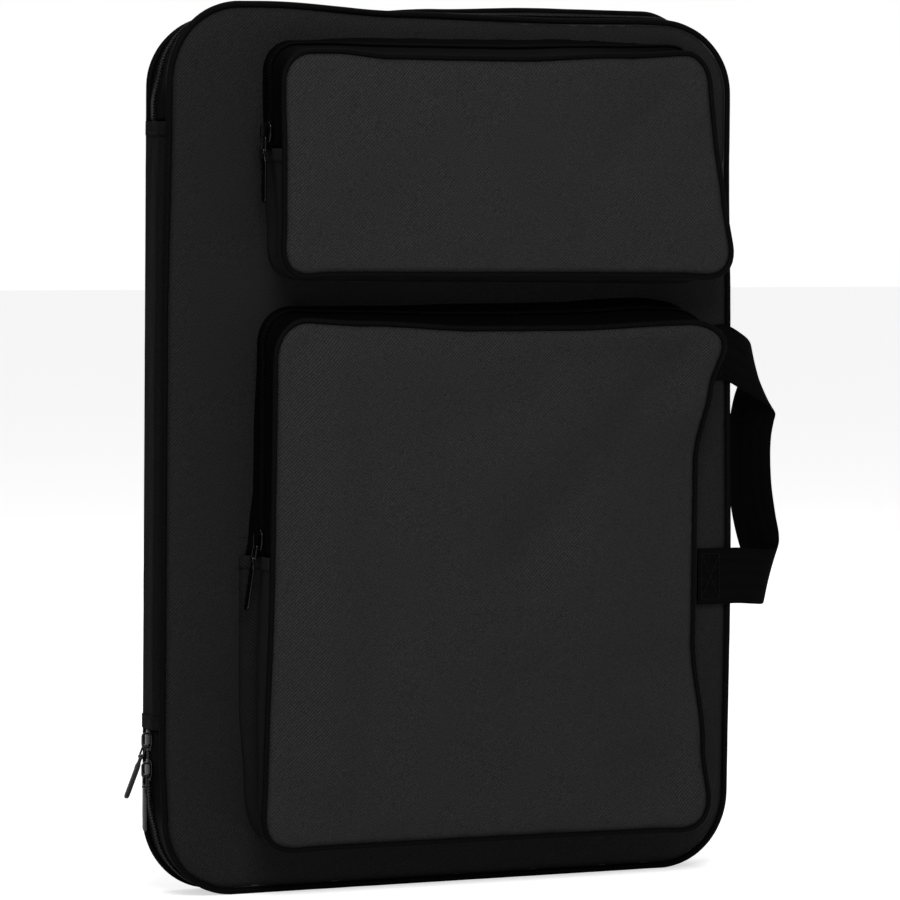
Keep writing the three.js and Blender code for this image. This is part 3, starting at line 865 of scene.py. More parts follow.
@dataclass
class Cover:
    """One cover: cloth, board and lining, with piping round its edge and its half of the main zip."""

    bench: Bench
    wear: Wardrobe
    name: str
    side: int
    bead: float = 1.75
    inset: float = 2.7

    @property
    def body(self) -> str:
        """The body that it rides on."""
        return f"{self.name}_cover"

    def cloth(self) -> bpy.types.Object:
        """The outer cloth, drawn over its board and tucked under the piping."""
        rim = CASE.shrunk(self.inset)

        def place(u: float, v: float) -> Vector:
            """The point for a share of each way."""
            x, z = rim.fill(u if self.side < 0 else 1 - u, v)
            deep = rim.inside(x, z)
            y = mix(HALF_DEPTH - 2.0, HALF_DEPTH - 0.1, smooth(0, 6, deep))
            soft = smooth(2, 26, deep)
            y += soft * (0.35 * wander(x, z, 70, self.side) + 0.14 * wander(x, z, 19, self.side + 5))
            return slacken(Vector((x, self.side * y, z)))

        bm = drape(78, 106, place, (350, 480))
        # the cover cloth takes the darker copy of the shell cloth: painted shade
        piece = self.bench.finish(bm, f"{self.name}_cover_cloth", self.wear.panel, Slot.SHELL,
                                  [f"{self.name}_shell"], wall=1.1)
        puff(piece, lambda co: rim.inside(self.bench.home(co).x, self.bench.home(co).z) < 3.5, 0.8 * MM, 0.6)
        return piece

    def lining(self) -> bpy.types.Object:
        """The lining, lightly rumpled over the board."""
        rim = CASE.shrunk(self.inset + 0.6)

        def place(u: float, v: float) -> Vector:
            """The point for a share of each way."""
            x, z = rim.fill(u if self.side > 0 else 1 - u, v)
            deep = rim.inside(x, z)
            y = mix(HALF_DEPTH - 3.2, 11.0, smooth(0, 6, deep))
            y -= smooth(4, 30, deep) * 0.3 * wander(x, z, 45, self.side + 9)
            return slacken(Vector((x, self.side * y, z)))

        bm = drape(70, 96, place, (350, 480))
        return self.bench.finish(bm, f"{self.name}_lining_cloth", self.wear.lining, Slot.LINING,
                                 [f"{self.name}_lining"], wall=0.7)

    def piping(self) -> bpy.types.Object:
        """The bound cord round the edge."""
        def place(u: float, v: float) -> Vector:
            """The point for a share of each way."""
            here = CASE.at(u * CASE.length)
            radius = self.bead * (1 + 0.05 * wander(u * CASE.length, 0, 14, self.side))
            turn = 2 * math.pi * v
            y = self.side * (HALF_DEPTH - self.bead) + radius * math.sin(turn)
            return slacken(here.out(radius * math.cos(turn) - self.bead, y))

        bm = drape(540, 12, place, (CASE.length, 11), welded=True)
        return self.bench.finish(bm, f"{self.name}_piping_cord", self.wear.piping, Slot.PIPING,
                                 [f"{self.name}_piping"])

    def zip(self) -> list[bpy.types.Object]:
        """Its half of the main zip, round the other three sides."""
        length = CASE.length - ZIP_HIGH + ZIP_LOW

        def station(u: float) -> Station:
            """The place for a share of the way."""
            return CASE.at(u * length)

        edges = sorted((self.side * 0.3, self.side * 12.6))
        tape = zip_tape(station, (edges[0], edges[1]), 0, -2.4, bow, (length, 12.3))
        teeth = zip_teeth(station, length, 0, self.side, -2.25, bow)
        return [
            self.bench.finish(tape, f"{self.name}_zip_tape", self.wear.tape, Slot.TAPE,
                              [f"main_zip_tape_{self.name}"], wall=0.7),
            self.bench.finish(teeth, f"{self.name}_zip_teeth", self.wear.coil, Slot.COIL,
                              [f"main_zip_coil_{self.name}"], angle=30),
        ]

    def build(self) -> None:
        """Makes the cover."""
        for piece in [self.cloth(), self.lining(), self.piping(), *self.zip()]:
            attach(piece, self.body)
        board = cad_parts[f"{self.name}_board"]
        board.data.materials.clear()
        board.data.materials.append(self.wear.board)


@dataclass
class Interior:
    """The paper sleeve and the board strap inside the back cover."""

    bench: Bench
    wear: Wardrobe
    x0: float = -150
    x1: float = 150
    z0: float = 26
    z1: float = 300
    front: float = 4.9
    back: float = 10.5

    def sleeve(self) -> bpy.types.Object:
        """The cloth sleeve, which stands off the lining and is sewn down at its sides and bottom."""
        def place(u: float, v: float) -> Vector:
            """The point for a share of each way."""
            x, z = mix(self.x0, self.x1, u), mix(self.z0, self.z1, v)
            edge = min(x - self.x0, self.x1 - x, z - self.z0)
            y = mix(self.back, self.front, smooth(0, 5, edge))
            y += 0.25 * smooth(5, 40, edge) * wander(x, z, 55, 3)
            return Vector((x, y, z))

        bm = drape(76, 70, place, (self.x1 - self.x0, self.z1 - self.z0))
        return self.bench.finish(bm, "paper_sleeve_cloth", self.wear.lining, Slot.LINING,
                                 ["paper_sleeve"], wall=0.7)

    def binding(self) -> bpy.types.Object:
        """The tape folded over the sleeve's top edge."""
        def path(u: float) -> Vector:
            """The middle of the bar for a share of the way."""
            return Vector((mix(self.x0 + 1, self.x1 - 1, u), self.front - 0.4, self.z1 - 4.5))

        bm = bar(90, 12, path, lambda u: Vector((0, 0, 1)), (4.6, 0.5), 300, power=0.3)
        return self.bench.finish(bm, "sleeve_edge_tape", self.wear.tape, Slot.TAPE, ["sleeve_binding"])

    def strap(self) -> list[bpy.types.Object]:
        """The webbing strap that holds a board, with the stitching at its ends."""
        def path(u: float) -> Vector:
            """The middle of the bar for a share of the way."""
            x = mix(-152, 152, u)
            return Vector((x, 9.9 - 0.5 * math.sin(math.pi * u) ** 0.5, 385 - 0.8 * hill(x, 90)))

        bm = bar(100, 16, path, lambda u: Vector((0, 0, 1)), (12.5, 0.6), 304, power=0.3)
        rows = []
        for x in (-149.0, -138.0, 138.0, 149.0):
            rows += stitches(Vector((x, 9.15, 374.5)), Vector((x, 9.15, 395.5)), Vector((0, -1, 0)))
        return [
            self.bench.finish(bm, "board_strap_webbing", self.wear.webbing, Slot.WEBBING, ["board_strap"]),
            self.bench.finish(stamp(thread_block(), rows), "board_strap_stitches", self.wear.thread,
                              Slot.WEBBING),
        ]

    def build(self) -> None:
        """Makes what is inside the back cover."""
        for piece in [self.sleeve(), self.binding(), *self.strap()]:
            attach(piece, Body.BACK.value)


@dataclass
class Spine:
    """The cloth hinge at the left, in two halves, one at each cover."""

    bench: Bench
    wear: Wardrobe
    hem: float = 7.5
    z0: float = ZIP_LOW
    z1: float = ZIP_HIGH

    def surface(self, y: float, z: float, lift: float) -> Vector:
        """A point of the outer face, lifted out by this much."""
        out = mix(2.1, -1.6, smooth(8.5, 13.8, abs(y)))
        out += smooth(13, 6, abs(y)) * (0.35 * wander(y * 3, z, 40, 2) + 0.2 * wander(y * 2, z, 13, 7))
        ends = smooth(self.z0, self.z0 + 22, z) * smooth(self.z1, self.z1 - 22, z)
        return slacken(Vector((CASE.x0 - out * mix(0.85, 1, ends) - lift, y, z)))

    def half(self, side: int, z0: float, z1: float, lift: float, edge: float = 13.8) -> bmesh.types.BMesh:
        """Half of the cloth between two heights, with its outside facing left."""
        near, far = (0.0, edge) if side > 0 else (-edge, 0.0)

        def place(u: float, v: float) -> Vector:
            """The point for a share of each way."""
            return self.surface(mix(near, far, v), mix(z0, z1, u), lift)

        return drape(max(6, round((z1 - z0) / 3)), 14, place, (z1 - z0, edge))

    def inner(self, side: int) -> bmesh.types.BMesh:
        """Half of the lining, which faces into the case."""
        near, far = (11.9, 0.0) if side > 0 else (0.0, -11.9)

        def place(u: float, v: float) -> Vector:
            """The point for a share of each way."""
            y, z = mix(near, far, v), mix(self.z0, self.z1, u)
            inward = mix(-0.1, 3.9, smooth(8, 11.9, abs(y))) + 0.2 * wander(y * 3, z, 30, 11)
            return slacken(Vector((CASE.x0 + max(0.1, inward), y, z)))

        return drape(110, 10, place, (self.z1 - self.z0, 12))

    def build(self) -> None:
        """Makes the spine."""
        halves = [("back", 1, (Body.BACK.value, Body.SPINE.value), (14.0, 8.0)),
                  ("front", -1, (Body.SPINE.value, Body.FRONT.value), (-8.0, -14.0))]
        for name, side, bodies, (start, end) in halves:
            cloth = self.half(side, self.z0, self.z1, 0)
            lining = self.inner(side)
            # the spine's cloth and its hems take the darkest copy of the shell cloth: painted shade
            pieces = [
                self.bench.finish(cloth, f"spine_cloth_{name}", self.wear.side, Slot.SHELL, ["spine_gusset"],
                                  wall=0.9),
                self.bench.finish(lining, f"spine_lining_{name}", self.wear.lining, Slot.LINING,
                                  ["spine_lining"], wall=0.6),
            ]
            for place, z0 in (("lower", self.z0), ("upper", self.z1 - self.hem)):
                fold = self.half(side, z0, z0 + self.hem, 0.9)
                pieces.append(self.bench.finish(fold, f"spine_hem_{place}_{name}", self.wear.side, Slot.SHELL,
                                                [f"spine_hem_{place}"], wall=0.9))
            for piece in pieces:
                self.bench.bend(piece, bodies, (CASE.x0, start, 240), (CASE.x0, end, 240))
        rows = []
        for z in (self.z0 + self.hem - 1.6, self.z1 - self.hem + 1.6):
            start, end = self.surface(-7.5, z - 0.8, 0.95), self.surface(7.5, z + 0.8, 0.95)
            rows += stitches(start, end, Vector((-1, 0, 0)))
        thread = self.bench.finish(stamp(thread_block(), rows), "spine_hem_stitches", self.wear.thread,
                                   Slot.SHELL)
        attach(thread, Body.SPINE.value)


# ------------------------------------------------------------------------------------ pockets
@dataclass
class Pocket:
    """A pocket on the front cover, whose face folds forward above its zip's ends.

    The lists of points say how the cloth has settled: how far an edge has moved, at heights or along the top.
    """

    bench: Bench
    wear: Wardrobe
    name: str
    base: Outline
    face: Outline
    zip_end: float
    base_left: list[tuple[float, float]]
    face_left: list[tuple[float, float]]
    face_right: list[tuple[float, float]]
    face_top: list[tuple[float, float]]
    face_bottom: list[tuple[float, float]]
    base_top: list[tuple[float, float]]
    base_bottom: list[tuple[float, float]]
    sink: Callable[[float, float], float]
    tugs: list[tuple[float, float, float, float]]
    creases: list[tuple[Vector, Vector, float, float]]
    flare: float = 2.0
    valley: float = 4.2
    sewn: float = -16.2
    front: float = -44.3
    bead: float = 1.5
    middle: float = -28.65
    zip_lean: float = 5.0

    @property
    def flap(self) -> str:
        """The body of the part that folds forward."""
        return f"{self.name}_flap"

    def rect(self, t: float) -> Outline:
        """The pocket's outline a share t of the way from the cover to its face."""
        a, b = self.base, self.face
        return Outline(mix(a.x0, b.x0, t), mix(a.x1, b.x1, t), mix(a.z0, b.z0, t), mix(a.z1, b.z1, t),
                       mix(a.r, b.r, t), self.zip_end)

    def share(self, y: float) -> float:
        """How far from the cover to the face a depth is, from 0 to 1."""
        return min(1.0, max(0.0, (self.sewn - y) / (self.sewn - self.front)))

    def settle(self, co: Vector) -> Vector:
        """Moves a point as the pocket has settled."""
        x, y, z = co
        t = self.share(y)
        left = smooth(70, 0, x - self.base.x0)
        right = smooth(60, 0, self.base.x1 - x)
        top = smooth(55, 0, self.base.z1 - z)
        bottom = smooth(40, 0, z - self.base.z0)
        free = 1 - hill(t - 0.44, 0.24) * smooth(self.zip_end - 30, self.zip_end, z)
        move = left * free * mix(through(self.base_left, z), through(self.face_left, z), t)
        move += right * t * through(self.face_right, z)
        rise = top * mix(through(self.base_top, x), through(self.face_top, x), t)
        rise += bottom * mix(through(self.base_bottom, x), through(self.face_bottom, x), t)
        for at_x, at_z, tug_x, tug_z in self.tugs:
            near = t * hill(math.hypot(x - at_x, z - at_z), 17)
            move += near * tug_x
            rise += near * tug_z
        lean = self.zip_lean * smooth(30, 4, self.base.z1 - z) * 4 * t * (1 - t)
        sink = self.sink(x, z)
        move -= right * 0.32 * sink * math.sin(math.pi * t)
        return Vector((x + move, y + t * sink + lean, z + rise))

    def station(self, t: float, lower: bool) -> Callable[[float], Station]:
        """The way over the pocket's top, or under its bottom, at one depth."""
        rect = self.rect(t)
        span = rect.length - rect.upper

        def at(u: float) -> Station:
            """The station for a share of the way."""
            return rect.at(rect.upper + u * span if lower else u * rect.upper)

        return at

    def wall(self, span: tuple[float, float], depths: tuple[float, float], rows: int, lower: bool,
             lift: Callable[[Station, float], float]) -> bmesh.types.BMesh:
        """A strip of the pocket's wall.

        Args:
            span: the share of the way that it covers.
            depths: its front and rear edges.
            rows: cells across it.
            lower: whether it is under the bottom.
            lift: how far outside the outline each point lies, from its station and its share of the depth.

        Returns:
            The mesh.
        """
        rect = self.rect(0.5)
        length = (rect.length - rect.upper if lower else rect.upper) * (span[1] - span[0])

        def place(u: float, v: float) -> Vector:
            """The point for a share of each way."""
            y = mix(depths[0], depths[1], v)
            t = self.share(y)
            here = self.station(t, lower)(mix(span[0], span[1], u))
            return self.settle(here.out(lift(here, t), y))

        return drape(max(4, round(length / 3)), rows, place, (length, depths[1] - depths[0]))

    def lip(self, here: Station, t: float) -> float:
        """How the gusset's cloth stands: rumpled, and flared out where it is sewn to the cover."""
        side = smooth(0.2, 0.9, -here.nx)
        rumple = 0.9 * wander(here.x + here.z, t * 26, 24, 4) + 0.35 * wander(here.x - here.z, t * 26, 9, 8)
        fold = self.flare * hill(t - 0.05, 0.12) - self.valley * hill(t - 0.36, 0.13)
        fold += 0.9 * hill(t - 0.7, 0.15)
        return -1.0 + rumple * smooth(0, 0.15, t) * smooth(1, 0.8, t) + side * fold

    def gusset(self) -> list[bpy.types.Object]:
        """The cloth wall under the bottom, with its two hems at the zip's ends."""
        cloth = self.wall((0, 1), (self.front + 2.2, self.sewn + 0.5), 22, True, self.lip)
        rect = self.rect(0.5)
        share = 7.0 / (rect.length - rect.upper)
        # the pocket's wall and its hems take the darker copy of the shell cloth: painted shade
        pieces = [self.bench.finish(cloth, f"{self.name}_gusset_cloth_painted_shade", self.wear.gusset, Slot.SHELL,
                                    [f"{self.name}_gusset"], wall=0.9)]
        for side, span in (("left", (1 - share, 1.0)), ("right", (0.0, share))):
            fold = self.wall(span, (self.front + 2.6, self.sewn), 20, True,
                             lambda here, t: self.lip(here, t) + 0.9)
            hem = f"{self.name}_hem_{side}"
            pieces.append(
                self.bench.finish(fold, f"{hem}_fold", self.wear.gusset, Slot.SHELL, [hem], wall=0.9)
            )
        return pieces

    def zip(self, side: int) -> list[bpy.types.Object]:
        """One side of the zip: the rear one is sewn to the cover, and the front one to the face."""
        name = "rear" if side > 0 else "front"
        length = self.rect(0.44).upper
        depths = (self.middle + 0.3, self.sewn + 0.4) if side > 0 else (self.front + 2.2, self.middle - 0.3)

        def raised(here: Station, y_share: float) -> float:
            """How far outside the outline the tape lies."""
            y = mix(self.sewn, self.front, y_share)
            ridge = 0.5 * hill(abs(y - self.middle) - 3.2, 0.55)
            return -1.6 + ridge + 0.3 * wander(here.x + here.z, y_share * 9, 30, 6) * smooth(1, 0.8, y_share)

        tape = self.wall((0, 1), depths, 16, False, raised)
        teeth = zip_teeth(self.station(0.44, False), length, self.middle, side, -1.5, self.settle)
        return [
            self.bench.finish(tape, f"{self.name}_tape_{name}", self.wear.tape, Slot.TAPE,
                              [f"{self.name}_zip_tape_{name}"], wall=0.6),
            self.bench.finish(teeth, f"{self.name}_teeth_{name}", self.wear.coil, Slot.COIL,
                              [f"{self.name}_zip_coil_{name}"], angle=30),
        ]

    def front_cloth(self) -> bpy.types.Object:
        """The face, one slack cloth tucked under its piping."""
        rim = self.face.shrunk(2.3)

        def place(u: float, v: float) -> Vector:
            """The point for a share of each way."""
            x, z = rim.fill(u, v)
            deep = rim.inside(x, z)
            soft = smooth(0, 22, deep)
            y = mix(self.front + 1.7, self.front + 0.2, smooth(0, 5, deep))
            y += soft * (0.9 * wander(x, z, 75, 2.5) + 0.3 * wander(x, z, 26, 6.5))
            y += soft * sum(
                depth * hill(self.beside(x, z, a, b), width) for a, b, width, depth in self.creases
            )
            return self.settle(Vector((x, y, z)))

        wide, high = self.face.x1 - self.face.x0, self.face.z1 - self.face.z0
        bm = drape(round(wide / 4), round(high / 4), place, (wide, high))
        piece = self.bench.finish(bm, f"{self.name}_face_cloth", self.wear.shell, Slot.SHELL,
                                  [f"{self.name}_face_upper", f"{self.name}_face_lower"], wall=0.9)
        puff(piece, lambda co: self.rim_depth(co) < 3.0, 1.6 * MM, 0.8)
        return piece

    @staticmethod
    def beside(x: float, z: float, start: Vector, end: Vector) -> float:
        """How far a point of the face is from a crease that fades towards its ends."""
        here = Vector((x, z))
        share = min(1.0, max(0.0, (here - start).dot(end - start) / (end - start).length_squared))
        return (here - start.lerp(end, share)).length

    def rim_depth(self, point: Vector) -> float:
        """How far a point of the settled face lies inside its outline, near enough."""
        home = self.bench.home(point)
        rim = self.face.shrunk(2.3)
        left = smooth(70, 0, home.x - self.base.x0) * through(self.face_left, home.z)
        right = smooth(60, 0, self.base.x1 - home.x) * through(self.face_right, home.z)
        rise = smooth(55, 0, self.base.z1 - home.z) * through(self.face_top, home.x)
        rise += smooth(40, 0, home.z - self.base.z0) * through(self.face_bottom, home.x)
        return rim.inside(home.x - left - right, home.z - rise)

    def piping(self) -> bpy.types.Object:
        """The bound cord round the face."""
        def place(u: float, v: float) -> Vector:
            """The point for a share of each way."""
            here = self.face.at(u * self.face.length)
            radius = self.bead * (1 + 0.06 * wander(u * self.face.length, 0, 13, 1.5))
            turn = 2 * math.pi * v
            y = self.front + self.bead
            middle = self.settle(here.out(-self.bead, y))
            ring = Vector((0, radius * math.sin(turn), radius * math.cos(turn)))
            return middle + here.matrix(0, 0).to_3x3() @ ring

        bm = drape(round(self.face.length / 3), 12, place, (self.face.length, 9.4), welded=True)
        return self.bench.finish(bm, f"{self.name}_piping_cord", self.wear.piping, Slot.PIPING,
                                 [f"{self.name}_piping_upper", f"{self.name}_piping_lower"])

    def build(self) -> None:
        """Makes the pocket."""
        start = (0, self.front, self.zip_end - 2)
        end = (0, self.front, self.zip_end + 24)
        for piece in [*self.gusset(), *self.zip(1)]:
            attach(piece, Body.FRONT.value)
        for piece in [self.front_cloth(), self.piping(), *self.zip(-1)]:
            self.bench.bend(piece, (Body.FRONT.value, self.flap), start, end)


# ------------------------------------------------------------------------------------ pulls
@dataclass
class ZipPull:
    """A zip's slider with its wire link and its flat tab.

    Its own frame has the coil's face at x = 0, with -X outwards.
    """

    bench: Bench
    wear: Wardrobe
    name: str
    swing: float
    link: float
    tab: float
    long: float = 11.5
    wide: float = 8.6
    plate: float = 1.2
    gap: float = 0.3
    eye: float = 2.9
    crown: float = 4.9
    wire: float = 0.55
    ring: float = 5.6
    tab_wide: float = 5.0
    tab_thick: float = 1.3

    def seat(self) -> Vector:
        """Where the slider meets its coil, in the case's own frame."""
        low, high = (self.bench.home(Vector(corner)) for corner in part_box(f"{self.name}_slider"))
        return Vector((high.x + self.gap, (low.y + high.y) / 2, (low.z + high.z) / 2))

    def slider(self) -> bmesh.types.BMesh:
        """The shield-shaped plate, its two side walls and the crown that holds the link."""
        half = self.long / 2

        def width(u: float) -> float:
            """Half the plate's width there."""
            rising = mix(0.7, 1.0, smooth(0.0, 0.42, u))
            return self.wide / 2 * rising * mix(1.0, 0.5, smooth(0.74, 1.0, u))

        def plate(u: float, v: float) -> Vector:
            """A point of the plate's outer face."""
            rise = 0.35 * (1 - (2 * v - 1) ** 2)
            return Vector((-self.gap - self.plate + 0.35 - rise, (2 * v - 1) * width(u), mix(-half, half, u)))

        shell = ease_edges(thicken(drape(12, 4, plate, (1, 1)), Vector((self.plate - 0.35, 0, 0))), 0.28, 2)
        walls = []
        for side in (-1, 1):
            def wall(u: float, side: int = side) -> Vector:
                """The middle of one side wall."""
                return Vector((-self.gap - 0.1, side * (width(u) - 0.45), mix(-half + 0.4, half - 0.5, u)))
            walls.append(bar(14, 8, wall, lambda u: Vector((1, 0, 0)), (0.7, 0.4), 10))
        middle, reach, base = -half * 0.05, half * 0.75 - 0.45, self.gap + self.plate * 0.6
        height = self.crown - base - 0.45

        def arch(u: float) -> Vector:
            """The middle of the crown's arch."""
            turn = math.pi * u
            out = -base - height * abs(math.sin(turn)) ** 0.4
            return Vector((out, 0, middle - reach * boxy(math.cos(turn), 0.4)))

        bridge = bar(32, 12, arch, lambda u: Vector((0, 1, 0)), (1.1, 0.45), 20, power=0.6)
        return combine([shell, *walls, bridge])

    def ring_of_wire(self) -> bmesh.types.BMesh:
        """The wire link, which hangs from the crown."""
        half = self.ring / 2 - self.wire
        loop = Outline(-half, half, 2 * self.wire - self.link, 0, 1.2, start=-1.6)

        def path(u: float) -> Vector:
            """The middle of the bar for a share of the way."""
            here = loop.at(u * loop.length)
            return Vector((0, here.x, here.z))

        section = (self.wire, self.wire)
        return bar(64, 12, path, lambda u: Vector((1, 0, 0)), section, 24, closed=True, power=1.0)

    def tab_plate(self) -> bmesh.types.BMesh:
        """The flat tab, with the barrel that turns on the link."""
        neck, shoulder = 1.4, 3.4

        def leaf(u: float, v: float) -> Vector:
            """A point of the tab's outer face."""
            down = self.tab * u
            half = mix(neck, self.tab_wide / 2, smooth(shoulder - 1.2, shoulder + 0.8, down))
            tip = max(0.0, down - (self.tab - 2.0)) / 2.0
            half *= math.sqrt(max(0.12, 1 - tip * tip))
            crowned = 0.22 * (2 * v - 1) ** 2 + 0.14 * smooth(shoulder + 1, shoulder + 3, down)
            hang = -1.0 - down * (self.tab - 1.0) / self.tab
            return Vector((-self.tab_thick / 2 + crowned, (1 - 2 * v) * half, hang))

        sheet = drape(44, 8, leaf, (1, 1))
        plate = ease_edges(thicken(sheet, Vector((self.tab_thick - 0.3, 0, 0))), 0.25, 2, angle=55)

        def turn(u: float) -> Vector:
            """The middle of the barrel's ring."""
            return Vector((1.05 * math.cos(2 * math.pi * u), 0, 1.05 * math.sin(2 * math.pi * u)))

        barrel = bar(28, 10, turn, lambda u: Vector((0, 1, 0)), (neck, 0.32), 7, closed=True, power=0.6)
        return combine([plate, barrel])

    def build(self) -> None:
        """Makes the pull."""
        seat = Matrix.Translation(self.seat())
        hung = seat @ Matrix.Translation((-self.eye, 0, -self.long / 4)) @ Matrix.Rotation(
            math.radians(self.swing), 4, "Y")
        low = hung @ Matrix.Translation((0, 0, 2 * self.wire - self.link))
        parts = [
            ("slider", self.slider(), seat),
            ("link", self.ring_of_wire(), hung),
            ("tab", self.tab_plate(), low),
        ]
        for kind, bm, place in parts:
            bmesh.ops.transform(bm, matrix=place, verts=bm.verts)
            node = f"{self.name}_{kind}"
            piece = self.bench.finish(bm, f"{node}_metal", self.wear.metal, Slot.METAL, [node], angle=45)
            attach(piece, node)


# ------------------------------------------------------------------------------------ handle
@dataclass
class Handle:
    """The webbing handle: one strap, sewn to the front cover at both ends."""

    bench: Bench
    wear: Wardrobe
    root: float = 171.0
    foot: float = 17.0
    face: float = -17.3
    thick: float = 1.4
    wide: float = 31.8
    rails: tuple = (
        ((181, -17.6, 181), (181, -17.6, 149.2)), ((191, -18.2, 180.2), (191, -17.4, 148.6)),
        ((200, -18.6, 179.6), (198.5, -14.5, 148.4)), ((205.6, -18.6, 181.6), (201.4, -8, 152)),
        ((206.4, -18.8, 188.5), (199.6, -0.5, 162.5)), ((204.4, -19, 200), (194.6, 7, 181)),
        ((201.3, -19, 214), (191, 10.4, 206)), ((199.9, -19, 229), (189.6, 11, 229)),
        ((200, -19, 243), (190, 10.4, 248)), ((201.2, -18.9, 252), (191.5, 7.5, 263.5)),
        ((201.6, -18.7, 258), (193.5, 2, 275)), ((198.5, -18.5, 262.5), (193.5, -5.5, 286)),
        ((191, -18.2, 266.5), (189.5, -13, 295.5)), ((181.5, -17.7, 271), (181.5, -17, 302)),
    )
    low: tuple[float, float] = (149.2, 181.0)
    high: tuple[float, float] = (275.8, 307.6)

    def edges(self) -> tuple[list[Vector], list[Vector]]:
        """The strap's front and rear edges, from the lower foot round to the upper one."""
        steps = [self.root - self.foot, self.root - self.foot / 2, self.root]
        lower = [(Vector((x, self.face, self.low[1])), Vector((x, self.face, self.low[0]))) for x in steps]
        upper = [(Vector((x, self.face, self.high[0])), Vector((x, self.face, self.high[1]))) for x in steps]
        loop = [(Vector(front), Vector(rear)) for front, rear in self.rails]
        rows = lower + loop + upper[::-1]
        return [row[0] for row in rows], [row[1] for row in rows]

    def strap(self) -> bpy.types.Object:
        """The strap itself."""
        front, rear = self.edges()

        def path(u: float) -> Vector:
            """The middle of the bar for a share of the way."""
            return (along_line(front, u) + along_line(rear, u)) / 2

        def across(u: float) -> Vector:
            """The direction of the strap's width."""
            return (along_line(rear, u) - along_line(front, u)).normalized()

        bm = bar(170, 24, path, across, (self.wide / 2, self.thick / 2), 240, power=0.3)
        nodes = ["handle_loop", "handle_foot_lower", "handle_foot_upper"]
        return self.bench.finish(bm, "handle_strap", self.wear.webbing, Slot.WEBBING, nodes)

    def sewing(self) -> bpy.types.Object:
        """The box and cross of stitches on each foot."""
        rows = []
        out = Vector((0, -1, 0))
        y = self.face - self.thick / 2 + 0.1
        left, right = self.root - self.foot + 2, self.root - 3.2
        for low, high in (self.low, self.high):
            a, b = Vector((left, y, low + 3)), Vector((right, y, low + 3))
            c, d = Vector((right, y, high - 3)), Vector((left, y, high - 3))
            for start, end in ((a, b), (b, c), (c, d), (d, a), (a, c), (b, d)):
                rows += stitches(start, end, out)
        return self.bench.finish(stamp(thread_block(), rows), "handle_stitches", self.wear.thread,
                                 Slot.WEBBING)

    def build(self) -> None:
        """Makes the handle."""
        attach(self.sewing(), Body.FRONT.value)
        strap = self.strap()
        self.bench.bend(strap, (Body.FRONT.value, Body.HANDLE.value), (self.root - 3, self.face, 230),
                        (self.root + 5, self.face, 230))


# ------------------------------------------------------------------------------------ studio
@dataclass
class Studio:
    """The floor, the lights and the camera."""

    bench: Bench
    azimuth: float = -27.54
    elevation: float = 3.12
    roll: float = 0.475
    distance: float = 2.942
    lens: float = 213.04
    shift: tuple[float, float] = (-0.0071, -0.0008)

    def camera(self) -> None:
        """Aims the camera at the case."""
        az, el, roll = (math.radians(value) for value in (self.azimuth, self.elevation, self.roll))
        target = Vector((self.bench.offset.x, -0.00185, 0.240))
        back = Vector((math.sin(az) * math.cos(el), -math.cos(az) * math.cos(el), math.sin(el)))
        right = Vector((math.cos(az), math.sin(az), 0))
        up = back.cross(right)
        turned_right = right * math.cos(roll) + up * math.sin(roll)
        turned_up = up * math.cos(roll) - right * math.sin(roll)
        data = bpy.data.cameras.new("camera")
        data.lens, data.sensor_width = self.lens, 36
        data.shift_x, data.shift_y = self.shift
        data.clip_end = 50
        camera = bpy.data.objects.new("camera", data)
        axes = Matrix((turned_right, turned_up, back)).transposed().to_4x4()
        camera.matrix_world = Matrix.Translation(target + back * self.distance) @ axes
        bpy.context.scene.collection.objects.link(camera)
        bpy.context.scene.camera = camera

    def lamp(self, name: str, place: tuple[float, float, float], size: float, power: float) -> None:
        """A soft lamp that faces the middle of the case."""
        data = bpy.data.lights.new(name, "AREA")
        data.shape, data.size, data.energy = "DISK", size, power
        lamp = bpy.data.objects.new(name, data)
        lamp.location = place
        lamp.rotation_euler = (Vector((0, 0, 0.25)) - Vector(place)).to_track_quat("-Z", "Y").to_euler()
        bpy.context.scene.collection.objects.link(lamp)

    def floor(self) -> None:
        """A wide pale floor."""
        bm = bmesh.new()
        bmesh.ops.create_grid(bm, x_segments=1, y_segments=1, size=12)
        mesh = bpy.data.meshes.new("floor")
        bm.to_mesh(mesh)
        bm.free()
        floor = bpy.data.objects.new("floor", mesh)
        bpy.context.scene.collection.objects.link(floor)
        sh = Shading("floor_paper")
        seen = sh.node("ShaderNodeLightPath", {}).outputs["Is Camera Ray"]
        sh.surface(
            Base_Color=(0.96, 0.96, 0.96, 1), Roughness=0.9, Specular_IOR_Level=0.2,
            Emission_Color=(1, 1, 1, 1), Emission_Strength=sh.ramp(seen, 0.05, 0.6),
        )
        mesh.materials.append(sh.material)

    def build(self) -> None:
        """Sets the stage."""
        self.camera()
        self.floor()
        world = bpy.data.worlds.new("studio")
        world.use_nodes = True
        nodes, links = world.node_tree.nodes, world.node_tree.links
        seen = nodes.new("ShaderNodeLightPath").outputs["Is Camera Ray"]
        strength = nodes.new("ShaderNodeMapRange")
        strength.inputs["To Min"].default_value = 0.33
        strength.inputs["To Max"].default_value = 1.0
        links.new(seen, strength.inputs["Value"])
        nodes["Background"].inputs["Color"].default_value = (1, 1, 1, 1)
        links.new(strength.outputs[0], nodes["Background"].inputs["Strength"])
        bpy.context.scene.world = world
        self.lamp("key", (-0.5, -1.15, 1.45), 1.0, 17.5)
        self.lamp("rear", (0.0, 2.6, 0.9), 1.6, 7)
        self.lamp("over", (0.3, 0.6, 3.2), 3.0, 16)
        bpy.context.scene.view_settings.view_transform = "Standard"


